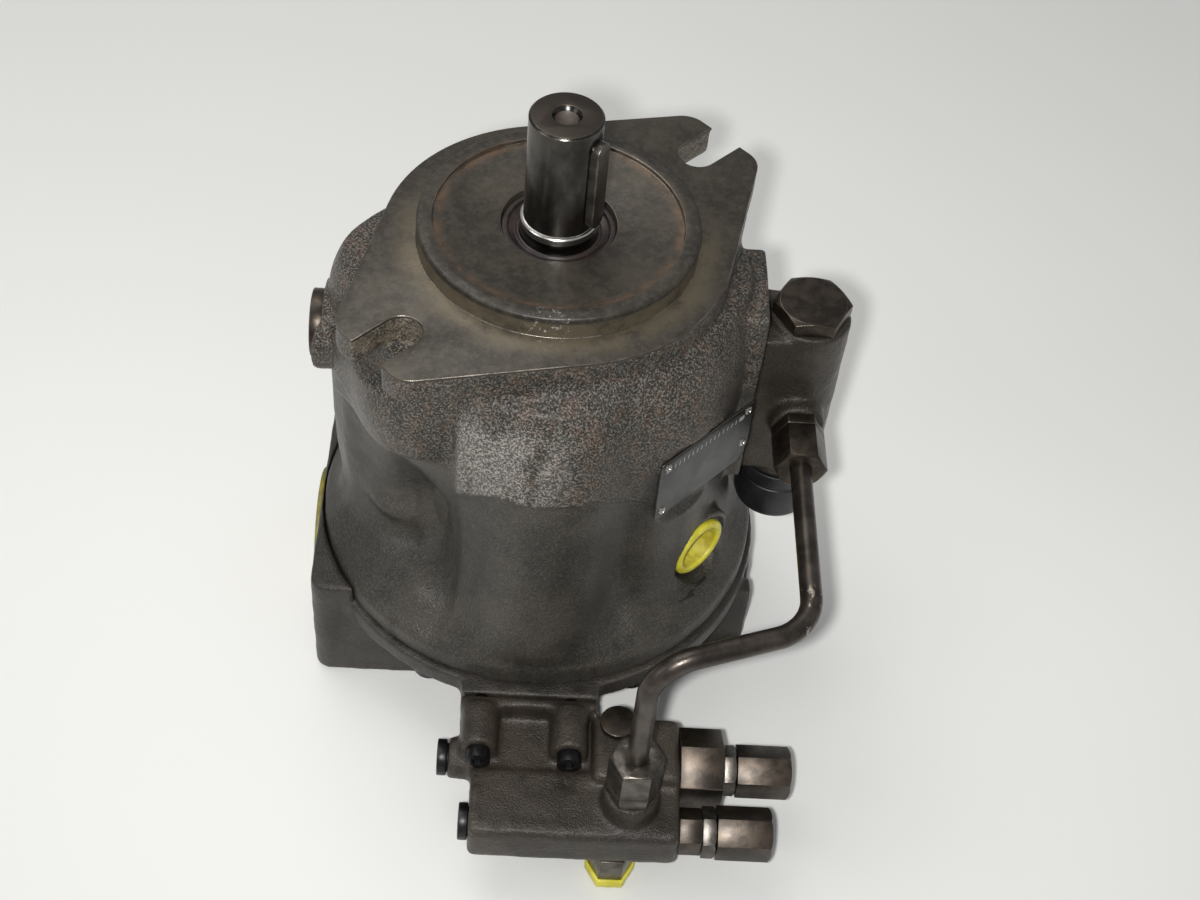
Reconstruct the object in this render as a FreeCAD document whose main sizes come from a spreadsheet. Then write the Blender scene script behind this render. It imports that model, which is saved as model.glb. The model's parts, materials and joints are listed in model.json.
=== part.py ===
import FreeCAD, Part
import math
import os
import re
import Sketcher
from FreeCAD import Placement, Rotation, Vector

# Axial piston pump with a swashplate, a two-bolt mounting flange, a keyed shaft, a power controller
# and a pressure and flow control valve. Millimetres. The origin is the centre of the mounting
# flange's face, +Z runs up the shaft, and the control valve faces -Y.

doc = FreeCAD.newDocument("axial_piston_pump")

# ---------------------------------------------------------------- driving dimensions
sheet = doc.addObject("Spreadsheet::Sheet", "sizes")

DIMENSIONS = [
    ("pilot_radius", 62.5), ("pilot_height", 11), ("pilot_rim", 7), ("pilot_recess", 2),
    ("flange_thick", 15), ("flange_round", 78), ("flange_side_angle", 33), ("flange_end", 109.5),
    ("flange_corner", 12), ("slot_half", 9), ("slot_centre", 90),
    ("seam_z", -190.7), ("seam_radius", 109.7), ("bell_thick", 12.7), ("base_z", -250),
    ("cavity_radius", 70), ("cavity_top", -30), ("lobe_offset", 74),
    ("shaft_radius", 16), ("shaft_end", 68), ("shaft_land", 17.4), ("shaft_shoulder", 14),
    ("shaft_collar", 21), ("journal_radius", 15), ("shaft_tail", -200), ("thread_radius", 5.1),
    ("key_width", 10), ("key_height", 8), ("key_length", 45), ("key_low", 16), ("key_bed", 11),
    ("key_azimuth", -30),
    ("seal_bore", 25.7), ("cup_radius", 36), ("cup_top", -8), ("cup_low", -28),
    ("rear_cup", 30), ("rear_top", -176), ("rear_low", -194), ("roller_count", 15),
    ("fit", 0.05), ("gap", 0.3), ("film", 0.1),
    ("pivot_z", -78), ("rocker_radius", 52), ("cradle_wall", 3), ("rocker_in", 37),
    ("rocker_out", 62), ("swash_plate", 16), ("swash_radius", 58), ("swash_hole", 24),
    ("pitch_radius", 40), ("piston_radius", 10), ("piston_count", 9), ("ball_radius", 7.45),
    ("ball_z", -90), ("piston_low", -152), ("pad_radius", 12.5), ("pad_thick", 4),
    ("neck_radius", 9.8), ("block_radius", 53), ("block_top", -104), ("block_low", -168),
    ("port_pitch", 37), ("valve_plate_thick", 4.8), ("valve_plate_radius", 50),
    ("boss_radius", 60), ("boss_top", -173), ("rim_radius", 112.6), ("rim_thick", 11.3),
    ("suction_radius", 23), ("pressure_radius", 12.5), ("port_z", -217), ("port_face", 111),
    ("suction_half", 66), ("pressure_half", 40), ("screw_circle", 100), ("screw_radius", 5),
    ("ring_radius", 90.7), ("ring_wire", 1.5),
    ("plate_plane", 91), ("plate_left", -19), ("plate_right", 42), ("plate_top", -60),
    ("plate_low", -98), ("plate_thick", 1), ("rivet_radius", 2.2),
    ("drain_along", 20.5), ("drain_z", -152), ("drain_radius", 12), ("spot_radius", 20),
    ("side_plug_z", -57), ("side_plug_y", -5), ("side_face", 104), ("side_plug_radius", 16),
    ("control_x", 119), ("control_radius", 19), ("control_top", -36.5), ("control_low", -133),
    ("control_pad", 97), ("control_half", 18), ("line_z", -88), ("plug_across", 32),
    ("end_cap_radius", 20), ("end_cap_low", -165),
    ("pad_y", 115), ("pad_half", 33), ("valve_left", -26), ("valve_right", 73),
    ("upper_y", 139), ("upper_z", -211.5), ("upper_half", 17.5), ("upper_left", 31),
    ("lower_y", 172), ("lower_z", -213), ("lower_half", 12.5), ("valve_middle", -203),
    ("spool_radius", 7), ("spring_bore", 9), ("screw_left", -23), ("screw_right", 20),
    ("upper_screw_z", -196), ("lower_screw_z", -238), ("tube_x", 49), ("tube_y", 166),
    ("tube_radius", 5), ("tube_wall", 1.5), ("bend_y", 142), ("nut_across", 22),
    ("big_across", 34), ("small_across", 19), ("set_screw", 4), ("sense_x", 43), ("sense_y", 174),
    ("control_screw_half", 12), ("control_screw_z", -121), ("screw_seat_y", 144), ("screw_head", 5.8),
    ("suction_bolt_y", 38.9), ("suction_bolt_z", 21.45), ("suction_slot", 5),
    ("pressure_bolt_y", 26.2), ("pressure_bolt_z", 13.1), ("pressure_slot", 4),
    ("top_plug_x", 43), ("top_plug_y", 127),
]

for row, (alias, number) in enumerate(DIMENSIONS, start=1):
    sheet.set(f"A{row}", alias)
    sheet.set(f"B{row}", str(number))
    sheet.setAlias(f"B{row}", alias)
doc.recompute()

ALIASES = {alias for alias, _ in DIMENSIONS}


def bound(text):
    """The expression with every alias written as a reference to the sheet."""
    return re.sub(r"[a-z_]+", lambda m: f"sizes.{m.group()}" if m.group() in ALIASES else m.group(), text)


def value(text):
    """The number that an expression of sheet aliases has now."""
    return float(sheet.evalExpression(bound(str(text))))


def size(alias):
    """One driving dimension."""
    return float(getattr(sheet, alias))


# ---------------------------------------------------------------- parametric building blocks
X_AXIS, Y_AXIS, Z_AXIS = Vector(1, 0, 0), Vector(0, 1, 0), Vector(0, 0, 1)
UPRIGHT = Rotation()
ALONG_X = Rotation(Z_AXIS, X_AXIS)
ALONG_MINUS_X = Rotation(Z_AXIS, -X_AXIS)
ALONG_MINUS_Y = Rotation(Z_AXIS, -Y_AXIS)
DOWN = Rotation(X_AXIS, 180)
BOTH = (-1, 1)
PLATE_SCREW_ANGLES = (60, 120, 240, 300)
BEHIND_ANGLE = (115, 245)
AHEAD_ANGLE = (-65, 65)
NODES = []


def place(thing, at, turn=UPRIGHT):
    """Turn a thing, then bind its position to three expressions."""
    thing.Placement = Placement(Vector(), turn)
    for axis, text in zip("xyz", at):
        thing.setExpression(f".Placement.Base.{axis}", bound(str(text)))


def node(thing, label):
    """Mark a finished sub-part: its label is the name of its file."""
    thing.Label = label
    NODES.append(thing)
    return thing


def drive(thing, **properties):
    """Bind a thing's sizes to expressions."""
    for name, text in properties.items():
        thing.setExpression(name, bound(str(text)))
    return thing


def cylinder(radius, height, at=("0", "0", "0"), turn=UPRIGHT):
    thing = drive(doc.addObject("Part::Cylinder", "cylinder"), Radius=radius, Height=height)
    place(thing, at, turn)
    return thing


def cone(radius, end_radius, height, at=("0", "0", "0"), turn=UPRIGHT):
    thing = drive(doc.addObject("Part::Cone", "cone"), Radius1=radius, Radius2=end_radius, Height=height)
    place(thing, at, turn)
    return thing


def box(length, width, height, at, turn=UPRIGHT):
    thing = drive(doc.addObject("Part::Box", "box"), Length=length, Width=width, Height=height)
    place(thing, at, turn)
    return thing


def hexagon(across, height, at=("0", "0", "0"), turn=UPRIGHT):
    """A hexagonal bar, given its size across flats."""
    thing = doc.addObject("Part::Prism", "hexagon")
    thing.Polygon = 6
    drive(thing, Circumradius=f"({across}) / 2 / cos(30)", Height=height)
    place(thing, at, turn)
    return thing


def hex_nut(across, height, at=("0", "0", "0"), turn=UPRIGHT):
    """A hexagonal bar with its top corners turned down to a chamfer."""
    bar = hexagon(across, height)
    turned = cone(f"({across}) / 2 + ({height}) * 1.8", f"({across}) / 2 * 0.97", height)
    both = doc.addObject("Part::MultiCommon", "nut_blank")
    both.Shapes = [bar, turned]
    place(both, at, turn)
    return both


def joined(*things):
    fused = doc.addObject("Part::MultiFuse", "joined")
    fused.Shapes = list(things)
    fused.Refine = True
    return fused


def cut(base, *tools):
    taken = doc.addObject("Part::Cut", "cut")
    taken.Base = base
    taken.Tool = tools[0] if len(tools) == 1 else joined(*tools)
    return taken


def group(*things):
    """Separate solids kept as one sub-part."""
    compound = doc.addObject("Part::Compound", "group")
    compound.Links = list(things)
    return compound


def plane_of(body, role):
    return next(f for f in body.Origin.OriginFeatures if f.Role == role)


def outline(body, points, role="XZ_Plane"):
    """A closed sketch of straight lines whose corners are bound to pairs of expressions."""
    sketch = body.newObject("Sketcher::SketchObject", f"{body.Name}_sketch")
    sketch.AttachmentSupport = [(plane_of(body, role), "")]
    sketch.MapMode = "FlatFace"
    corners = [Vector(value(a), value(b), 0) for a, b in points]
    count = len(corners)
    for i, corner in enumerate(corners):
        sketch.addGeometry(Part.LineSegment(corner, corners[(i + 1) % count]), False)
    for i in range(count):
        sketch.addConstraint(Sketcher.Constraint("Coincident", i, 2, (i + 1) % count, 1))
    for i, (corner, pair) in enumerate(zip(corners, points)):
        for kind, number, text, axis in zip(("DistanceX", "DistanceY"), corner[:2], pair, (-2, -1)):
            if abs(number) < 1e-9:
                sketch.addConstraint(Sketcher.Constraint("PointOnObject", i, 1, axis))
                continue
            index = sketch.addConstraint(Sketcher.Constraint(kind, -1, 1, i, 1, number))
            sketch.setExpression(f"Constraints[{index}]", bound(str(text)))
    return sketch


def turned(label, points, at=("0", "0", "0"), turn=UPRIGHT):
    """A body of revolution about its own Z axis: the points are (radius, height) pairs."""
    body = doc.addObject("PartDesign::Body", f"{label}_body")
    sketch = outline(body, points)
    feature = body.newObject("PartDesign::Revolution", f"{label}_turning")
    feature.Profile = sketch
    feature.ReferenceAxis = (sketch, ["V_Axis"])
    feature.Angle = 360
    body.Tip = feature
    place(body, at, turn)
    return body


def padded(label, points, length, at=("0", "0", "0"), turn=UPRIGHT, role="XY_Plane"):
    """A body pushed out of one flat outline."""
    body = doc.addObject("PartDesign::Body", f"{label}_body")
    feature = body.newObject("PartDesign::Pad", f"{label}_pad")
    feature.Profile = outline(body, points, role)
    drive(feature, Length=length)
    body.Tip = feature
    place(body, at, turn)
    return body


def ring(label, inner, outer, low, high, at=("0", "0", "0"), turn=UPRIGHT):
    return turned(label, [(inner, low), (outer, low), (outer, high), (inner, high)], at, turn)


def feature(label, shape):
    """A sub-part whose shape is set with Part's own functions."""
    thing = doc.addObject("Part::Feature", label)
    thing.Shape = shape
    return thing


# ---------------------------------------------------------------- direct shapes for the castings
def rod(radius, start, end):
    """A solid cylinder between two points."""
    return Part.makeCylinder(radius, (end - start).Length, start, end - start)


def block(x_range, y_range, z_range):
    low = Vector(x_range[0], y_range[0], z_range[0])
    return Part.makeBox(x_range[1] - x_range[0], y_range[1] - y_range[0], z_range[1] - z_range[0], low)


def rounded(solid, radius, wanted):
    """Fillet the edges that a test picks."""
    return solid.makeFillet(radius, [e for e in solid.Edges if wanted(e)])


def coil(mean_radius, wire_radius, low, high, turns, axis_turn, at):
    """A compression spring about a local Z axis, from low to high."""
    height = high - low - 2 * wire_radius
    helix = Part.makeHelix(height / turns, height, mean_radius)
    start = Vector(mean_radius, 0, 0)
    section = Part.Wire([Part.Circle(start, Vector(0, 1, 0), wire_radius).toShape()])
    spring = Part.Wire(helix.Edges).makePipeShell([section], True, True)
    spring.translate(Vector(0, 0, low + wire_radius))
    spring.Placement = Placement(at, axis_turn).multiply(spring.Placement)
    return spring


def diagonal(along, out, height):
    """A point beside the flat that faces +X -Y: along it, out from the shaft axis, and its height."""
    root = math.sqrt(0.5)
    return Vector((along + out) * root, (along - out) * root, height)


def flange_blank():
    """The two-bolt flange: a disc drawn out by straight sides to two slotted ears at 45 degrees."""
    round_radius, end = size("flange_round"), size("flange_end")
    tilt = math.radians(size("flange_side_angle"))
    touch = Vector(round_radius * math.sin(tilt), round_radius * math.cos(tilt), 0)
    corner = Vector(end, (round_radius - end * math.sin(tilt)) / math.cos(tilt), 0)
    mirror = [(1, 1), (-1, 1), (-1, -1), (1, -1)]
    touches = [Vector(touch.x * a, touch.y * b, 0) for a, b in mirror]
    corners = [Vector(corner.x * a, corner.y * b, 0) for a, b in mirror]
    top, low = Vector(0, round_radius, 0), Vector(0, -round_radius, 0)
    edges = [
        Part.LineSegment(corners[0], touches[0]), Part.Arc(touches[0], top, touches[1]),
        Part.LineSegment(touches[1], corners[1]), Part.LineSegment(corners[1], corners[2]),
        Part.LineSegment(corners[2], touches[2]), Part.Arc(touches[2], low, touches[3]),
        Part.LineSegment(touches[3], corners[3]), Part.LineSegment(corners[3], corners[0]),
    ]
    thick = size("flange_thick")
    flange = Part.Face(Part.Wire([e.toShape() for e in edges])).extrude(Vector(0, 0, -thick))
    flange = rounded(flange, size("flange_corner"), lambda e: len(e.Vertexes) == 2
                     and abs(e.Vertexes[0].X - e.Vertexes[1].X) < 0.01
                     and abs(e.Vertexes[0].Y - e.Vertexes[1].Y) < 0.01
                     and abs(e.Vertexes[0].X) > end - 1)
    flange.rotate(Vector(), Z_AXIS, 45)
    return flange


def slot_cutters():
    """The two open slots, cut from behind far enough for a bolt's head or nut."""
    half, centre = size("slot_half"), size("slot_centre")
    tools = []
    for side in (0, 180):
        tool = rod(half, Vector(centre, 0, -size("flange_thick") - 1), Vector(centre, 0, 1))
        tool = tool.fuse(block((centre, centre + 40), (-half, half), (-size("flange_thick") - 1, 1)))
        tool.rotate(Vector(), Z_AXIS, 45 + side)
        tools.append(tool)
    return tools


# Outer radius of the casting at a few heights: a base radius, then how far it swells towards the
# front and back (control piston bulges), the left, the right, the two ears and the nameplate side,
# and how far it falls back in the hollows on each side of the front and back bulges.
CASTING_LEVELS = [
    {"z": -14.0, "base": 76, "front": 4, "left": 19, "right": 12, "ear": 15, "plate": 4, "hollow": 0},
    {"z": -45.0, "base": 80, "front": 13, "left": 23, "right": 14, "ear": 18, "plate": 14, "hollow": 1},
    {"z": -78.0, "base": 80, "front": 17, "left": 23, "right": 14, "ear": 13, "plate": 14, "hollow": 2},
    {"z": -112.0, "base": 81, "front": 18, "left": 22, "right": 12, "ear": 1, "plate": 12, "hollow": 5},
    {"z": -150.0, "base": 83, "front": 20, "left": 18, "right": 12, "ear": 0, "plate": 9, "hollow": 6},
    {"z": -184.0, "base": 96, "front": 12, "left": 8, "right": 8, "ear": 4, "plate": 6, "hollow": 3},
]
SWELLS = [(-90, 24, "front"), (90, 24, "front"), (180, 22, "left"), (0, 26, "right"),
          (225, 20, "ear"), (45, 20, "ear"), (-45, 22, "plate")]
HOLLOWS = [(228, 13), (-66, 9), (62, 12), (128, 13)]


def casting_radius(level, angle):
    radius = level["base"]
    for centre, width, name in SWELLS:
        away = (angle - centre + 180) % 360 - 180
        radius += level[name] * math.exp(-((away / width) ** 2))
    for centre, width in HOLLOWS:
        away = (angle - centre + 180) % 360 - 180
        radius -= level["hollow"] * math.exp(-((away / width) ** 2))
    return radius


def casting_body():
    """The smooth outer body of the housing, lofted through its levels."""
    wires = []
    for level in CASTING_LEVELS:
        points = []
        for step in range(45):
            angle = 8 * step
            radius = casting_radius(level, angle)
            direction = math.radians(angle)
            points.append(Vector(radius * math.cos(direction), radius * math.sin(direction), level["z"]))
        curve = Part.BSplineCurve()
        curve.interpolate(points, True)
        wires.append(Part.Wire([curve.toShape()]))
    return Part.makeLoft(wires, True, False)


def housing_outside():
    seam_z, seam_radius = size("seam_z"), size("seam_radius")
    bell = Part.makeCylinder(seam_radius, size("bell_thick"), Vector(0, 0, seam_z))
    skirt = Part.makeCone(seam_radius - 1, 92, 18, Vector(0, 0, seam_z + size("bell_thick")))
    solid = casting_body().fuse([flange_blank(), bell, skirt])
    pilot = Part.makeCylinder(size("pilot_radius"), size("pilot_height"))
    pad = block((60, size("control_pad")), (-24, 24), (-128, -20))
    side = rod(21, Vector(-70, size("side_plug_y"), size("side_plug_z")),
               Vector(-size("side_face"), size("side_plug_y"), size("side_plug_z")))
    drain = rod(21.5, diagonal(size("drain_along"), 66, size("drain_z")),
                diagonal(size("drain_along"), size("plate_plane"), size("drain_z")))
    solid = solid.fuse([pilot, pad, side, drain])
    return solid.cut([name_plate_clearance()])


def name_plate_clearance():
    """What is milled away outside the flat that carries the nameplate."""
    slab = block((size("plate_left") - 5, size("plate_right") + 5), (0, 40),
                 (size("plate_low") - 6, size("plate_top") + 6))
    slab.rotate(Vector(), Z_AXIS, -135)
    slab.translate(diagonal(0, size("plate_plane"), 0))
    return slab


def housing_inside():
    """Everything that is hollow or bored in the housing."""
    seam_z, top = size("seam_z"), size("cavity_top")
    tools = [Part.makeCylinder(size("cavity_radius"), top - seam_z + 1, Vector(0, 0, seam_z - 1))]
    for side in (-1, 1):
        centre = side * size("lobe_offset")
        tools.append(rod(14.5, Vector(0, centre, seam_z - 1), Vector(0, centre, -80)))
        tools.append(rod(12, Vector(0, side * 72, -81), Vector(0, side * 72, -58)))
    return tools


def cradle_pads():
    """The two half-round seats that carry the swashplate, left inside the cavity."""
    pads = []
    reach = size("rocker_radius") + size("cradle_wall")
    axis_z = size("pivot_z")
    for side in (-1, 1):
        x_range = sorted((side * (size("rocker_in") - 1), side * (size("rocker_out") + 1)))
        pad = block(x_range, (-46, 46), (-52, size("cavity_top") + 4))
        pads.append(pad.common(Part.makeCylinder(size("cavity_radius") + 1, 60, Vector(0, 0, -70))))
    seat = rod(reach, Vector(-64, 0, axis_z), Vector(64, 0, axis_z))
    seat = seat.common(Part.makeCylinder(size("cavity_radius") + 0.5, 120, Vector(0, 0, -140)))
    return pads, seat


def make_housing():
    solid = housing_outside().cut(housing_inside())
    pads, seat = cradle_pads()
    solid = solid.fuse(pads).cut(seat)
    bores = [
        Part.makeCylinder(size("seal_bore"), 60, Vector(0, 0, -40)),
        Part.makeCylinder(size("cup_radius"), 30, Vector(0, 0, size("cup_top") - 30)),
        Part.makeCylinder(size("pilot_radius") - size("pilot_rim"), 5,
                          Vector(0, 0, size("pilot_height") - size("pilot_recess"))),
        rod(13, Vector(-60, size("side_plug_y"), size("side_plug_z")),
            Vector(-size("side_face") - 1, size("side_plug_y"), size("side_plug_z"))),
        rod(size("drain_radius"), diagonal(size("drain_along"), 50, size("drain_z")),
            diagonal(size("drain_along"), 120, size("drain_z"))),
        rod(size("spot_radius") - 3,
            diagonal(size("drain_along"), size("plate_plane") - 2, size("drain_z")),
            diagonal(size("drain_along"), 110, size("drain_z"))),
        rod(4, Vector(60, 0, -70), Vector(100, 0, -70)),
    ]
    for angle in PLATE_SCREW_ANGLES:
        at = Rotation(Z_AXIS, angle).multVec(Vector(size("screw_circle"), 0, 0))
        bores.append(rod(size("screw_radius"), at + Vector(0, 0, -195), at + Vector(0, 0, -179)))
    for side in BOTH:
        y, z = side * size("control_screw_half"), size("control_screw_z")
        bores.append(rod(3, Vector(84, y, z), Vector(98, y, z)))
    return solid.cut(bores + slot_cutters())


def kidney(angles, radius, half, low, high):
    """A curved slot between two angles."""
    start, end = angles
    outer = Part.makeCylinder(radius + half, high - low, Vector(0, 0, low), Z_AXIS, end - start)
    inner = Part.makeCylinder(radius - half, high - low, Vector(0, 0, low), Z_AXIS, end - start)
    slot = outer.cut(inner)
    slot.rotate(Vector(), Z_AXIS, start)
    return slot


def make_port_plate():
    seam_z, base = size("seam_z"), size("base_z")
    rim_low = seam_z - size("rim_thick")
    face = size("port_face")
    solids = [
        Part.makeCylinder(size("rim_radius"), size("rim_thick"), Vector(0, 0, rim_low)),
        Part.makeCone(80, 88, rim_low - base, Vector(0, 0, base)),
        Part.makeCylinder(size("boss_radius"), size("boss_top") - seam_z + 1, Vector(0, 0, seam_z - 1)),
        block((-face, -50), (-size("suction_half"), size("suction_half")), (base, rim_low + 1)),
        block((50, face + 1), (-size("pressure_half"), size("pressure_half")), (base, rim_low + 1)),
        block((-size("pad_half"), size("pad_half")), (-size("pad_y"), -60), (base + 5, seam_z)),
    ]
    solid = solids[0].fuse(solids[1:])
    wing = block((-face, -80), (-size("suction_half"), size("suction_half")), (rim_low, -180))
    wing = wing.cut(Part.makeCylinder(size("seam_radius") + 0.6, 40, Vector(0, 0, seam_z)))
    solid = solid.fuse(wing)
    solid = rounded(solid, 8, lambda e: len(e.Vertexes) == 2
                    and abs(e.Vertexes[0].X + face) < 0.01 and abs(e.Vertexes[1].X + face) < 0.01
                    and abs(e.Vertexes[0].Y - e.Vertexes[1].Y) < 0.01
                    and e.Length > 40)
    port_z = size("port_z")
    bores = [
        block((-face - 5, -face), (-size("suction_half"), size("suction_half")), (base, seam_z + 12)),
        Part.makeCylinder(size("rear_cup"), 22, Vector(0, 0, -195)),
        Part.makeCylinder(20, 20, Vector(0, 0, -206)),
        rod(size("suction_radius"), Vector(-face - 1, 0, port_z), Vector(-36, 0, port_z)),
        rod(size("pressure_radius"), Vector(36, 0, port_z), Vector(face + 2, 0, port_z)),
        kidney(BEHIND_ANGLE, size("port_pitch"), size("suction_slot"), port_z, -170),
        kidney(AHEAD_ANGLE, size("port_pitch"), size("pressure_slot"), port_z, -170),
        Part.makeTorus(size("ring_radius"), size("ring_wire") + 0.02, Vector(0, 0, seam_z - 0.6)),
    ]
    for angle in PLATE_SCREW_ANGLES:
        at = Rotation(Z_AXIS, angle).multVec(Vector(size("screw_circle"), 0, 0))
        bores.append(rod(size("screw_radius") + 0.3, at + Vector(0, 0, -215), at + Vector(0, 0, -185)))
    for across in BOTH:
        for up in BOTH:
            y, z = across * size("suction_bolt_y"), port_z + up * size("suction_bolt_z")
            bores.append(rod(5.1, Vector(-face - 1, y, z), Vector(-face + 22, y, z)))
            y, z = across * size("pressure_bolt_y"), port_z + up * size("pressure_bolt_z")
            bores.append(rod(4.2, Vector(face + 2, y, z), Vector(face - 18, y, z)))
    for x in (size("screw_left"), size("screw_right")):
        for z in (size("upper_screw_z"), size("lower_screw_z")):
            bores.append(rod(3, Vector(x, -size("pad_y") - 1, z), Vector(x, -size("pad_y") + 14, z)))
    for x, z in ((-2, -216), (9, -226)):
        bores.append(rod(2.5, Vector(x, -size("pad_y") - 1, z), Vector(x, -92, z)))
    return solid.cut(bores)


def make_valve_body():
    left, right = size("valve_left"), size("valve_right")
    upper_y, upper_z, upper_half = -size("upper_y"), size("upper_z"), size("upper_half")
    lower_y, lower_z, lower_half = -size("lower_y"), size("lower_z"), size("lower_half")
    pad_y, middle = -size("pad_y"), size("valve_middle")
    tube_x, tube_y = size("tube_x"), -size("tube_y")
    sense_x, sense_y = size("sense_x"), -size("sense_y")
    top_x, top_y = size("top_plug_x"), -size("top_plug_y")
    lower = block((left, right), (lower_y - lower_half, -150), (lower_z - lower_half, lower_z + lower_half))
    lower = rounded(lower, 4, lambda e: len(e.Vertexes) == 2
                    and max(v.Y for v in e.Vertexes) < lower_y - lower_half + 0.01)
    upper = block((size("upper_left"), right), (upper_y - upper_half, upper_y + upper_half),
                  (upper_z - upper_half, upper_z + upper_half))
    upper = rounded(upper, 4, lambda e: len(e.Vertexes) == 2 and e.Length > 30
                    and min(v.Z for v in e.Vertexes) > upper_z + upper_half - 0.01)
    solids = [
        upper,
        block((left, right), (-152, pad_y - 6), (lower_z - lower_half, middle)),
        block((-size("pad_half"), size("pad_half")), (pad_y - 6, pad_y), (-245, size("seam_z") - 0.8)),
        rod(10, Vector(left - 12, upper_y, upper_z), Vector(left + 2, upper_y, upper_z)),
        rod(13.5, Vector(tube_x, tube_y, -206), Vector(tube_x, tube_y, -187)),
    ]
    for x in (size("screw_left"), size("screw_right")):
        screw_z, seat_y = size("upper_screw_z"), -size("screw_seat_y")
        boss = size("screw_head") + 3
        solids.append(rod(boss, Vector(x, pad_y - 5, screw_z), Vector(x, seat_y, screw_z)))
        solids.append(block((x - boss, x + boss), (seat_y, pad_y - 5), (middle - 3, screw_z)))
    solid = lower.fuse(solids)
    bore = size("spool_radius")
    tools = [
        rod(bore, Vector(left - 13, upper_y, upper_z), Vector(right + 1, upper_y, upper_z)),
        rod(size("spring_bore"), Vector(56, upper_y, upper_z), Vector(right + 1, upper_y, upper_z)),
        rod(bore, Vector(left - 1, lower_y, lower_z), Vector(right + 1, lower_y, lower_z)),
        rod(size("spring_bore"), Vector(56, lower_y, lower_z), Vector(right + 1, lower_y, lower_z)),
        rod(7, Vector(tube_x, tube_y, -199), Vector(tube_x, tube_y, -180)),
        rod(3, Vector(tube_x, tube_y, -210), Vector(tube_x, tube_y, -190)),
        rod(6, Vector(sense_x, sense_y, -230), Vector(sense_x, sense_y, -220.2)),
        rod(6, Vector(top_x, top_y, -204), Vector(top_x, top_y, -190)),
        rod(2.5, Vector(-2, pad_y + 1, -216), Vector(-2, upper_y, -216)),
        rod(2.5, Vector(9, pad_y + 1, -222), Vector(9, -150, -222)),
    ]
    for x in (size("screw_left"), size("screw_right")):
        for z in (size("upper_screw_z"), size("lower_screw_z")):
            tools.append(rod(3.2, Vector(x, -150, z), Vector(x, pad_y + 1, z)))
        tools.append(rod(size("screw_head") + 0.5, Vector(x, -160, screw_z), Vector(x, seat_y, screw_z)))
    return solid.cut(tools)


def tube_path():
    """The control line's centre: out of the controller, across to the valve, and down into it."""
    x, z = size("control_x"), size("line_z")
    corners = [
        Vector(x, -48, z), Vector(x, -size("bend_y"), z),
        Vector(size("tube_x"), -size("tube_y"), z), Vector(size("tube_x"), -size("tube_y"), -172),
    ]
    edges = []
    start = corners[0]
    for before, corner, after, radius in zip(corners, corners[1:], corners[2:], (24, 20)):
        back, ahead = (before - corner).normalize(), (after - corner).normalize()
        half = back.getAngle(ahead) / 2
        reach = radius / math.tan(half)
        middle = corner + (back + ahead).normalize() * (radius / math.sin(half) - radius)
        enter, leave = corner + back * reach, corner + ahead * reach
        edges += [Part.LineSegment(start, enter), Part.Arc(enter, middle, leave)]
        start = leave
    edges.append(Part.LineSegment(start, corners[-1]))
    return Part.Wire([e.toShape() for e in edges])


def pipe(path, radius):
    start = path.Edges[0].Vertexes[0].Point
    section = Part.Wire([Part.Circle(start, Vector(0, 1, 0), radius).toShape()])
    return path.makePipeShell([section], True, False)



# ---------------------------------------------------------------- rotating group
def build_shaft():
    """Keyed shaft, turned in one profile, with its keyway and the thread in its end."""
    body = doc.addObject("PartDesign::Body", "drive_shaft_body")
    profile = [
        ("0", "shaft_tail"), ("journal_radius", "shaft_tail"), ("journal_radius", "rear_top"),
        ("shaft_radius", "rear_top"), ("shaft_radius", "block_low + 8"),
        ("shaft_radius + 1", "block_low + 8"), ("shaft_radius + 1", "block_top - 21"),
        ("shaft_radius", "block_top - 21"), ("shaft_radius", "cavity_top - 6"),
        ("shaft_collar", "cavity_top - 6"), ("shaft_collar", "cavity_top"), ("shaft_land", "cavity_top"),
        ("shaft_land", "shaft_shoulder - 0.6"), ("shaft_land - 0.6", "shaft_shoulder"),
        ("shaft_radius", "shaft_shoulder"), ("shaft_radius", "shaft_end - 1"),
        ("shaft_radius - 1", "shaft_end"), ("0", "shaft_end"),
    ]
    sketch = outline(body, profile)
    turning = body.newObject("PartDesign::Revolution", "shaft_turning")
    turning.Profile = sketch
    turning.ReferenceAxis = (sketch, ["V_Axis"])
    turning.Angle = 360
    body.Tip = turning
    keyway = key_shape("key_bed", "key_height + 4")
    bore = cylinder("thread_radius", "30", ("0", "0", "shaft_end - 26"))
    countersink = cone("thread_radius", "thread_radius + 1.6", "2", ("0", "0", "shaft_end - 1.95"))
    shaft = cut(body, keyway, bore, countersink)
    node(shaft, "drive_shaft")


def key_shape(bed, height):
    """A parallel key with round ends, standing on the keyway's bed."""
    straight = "key_length - key_width"
    middle = box(straight, "key_width", height, (f"-({straight}) / 2", "-key_width / 2", "0"))
    ends = []
    for sign in ("", "-"):
        ends.append(cylinder("key_width / 2", height, (f"{sign}({straight}) / 2", "0", "0")))
    key = joined(middle, *ends)
    outward = Rotation(Z_AXIS, size("key_azimuth")).multVec(X_AXIS)
    lean = Rotation(Z_AXIS, outward)
    stand_up = Rotation(lean.multVec(X_AXIS), Z_AXIS)
    at = (f"({bed}) * cos(key_azimuth)", f"({bed}) * sin(key_azimuth)", "key_low + key_length / 2")
    place(key, at, stand_up.multiply(lean))
    return key


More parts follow.
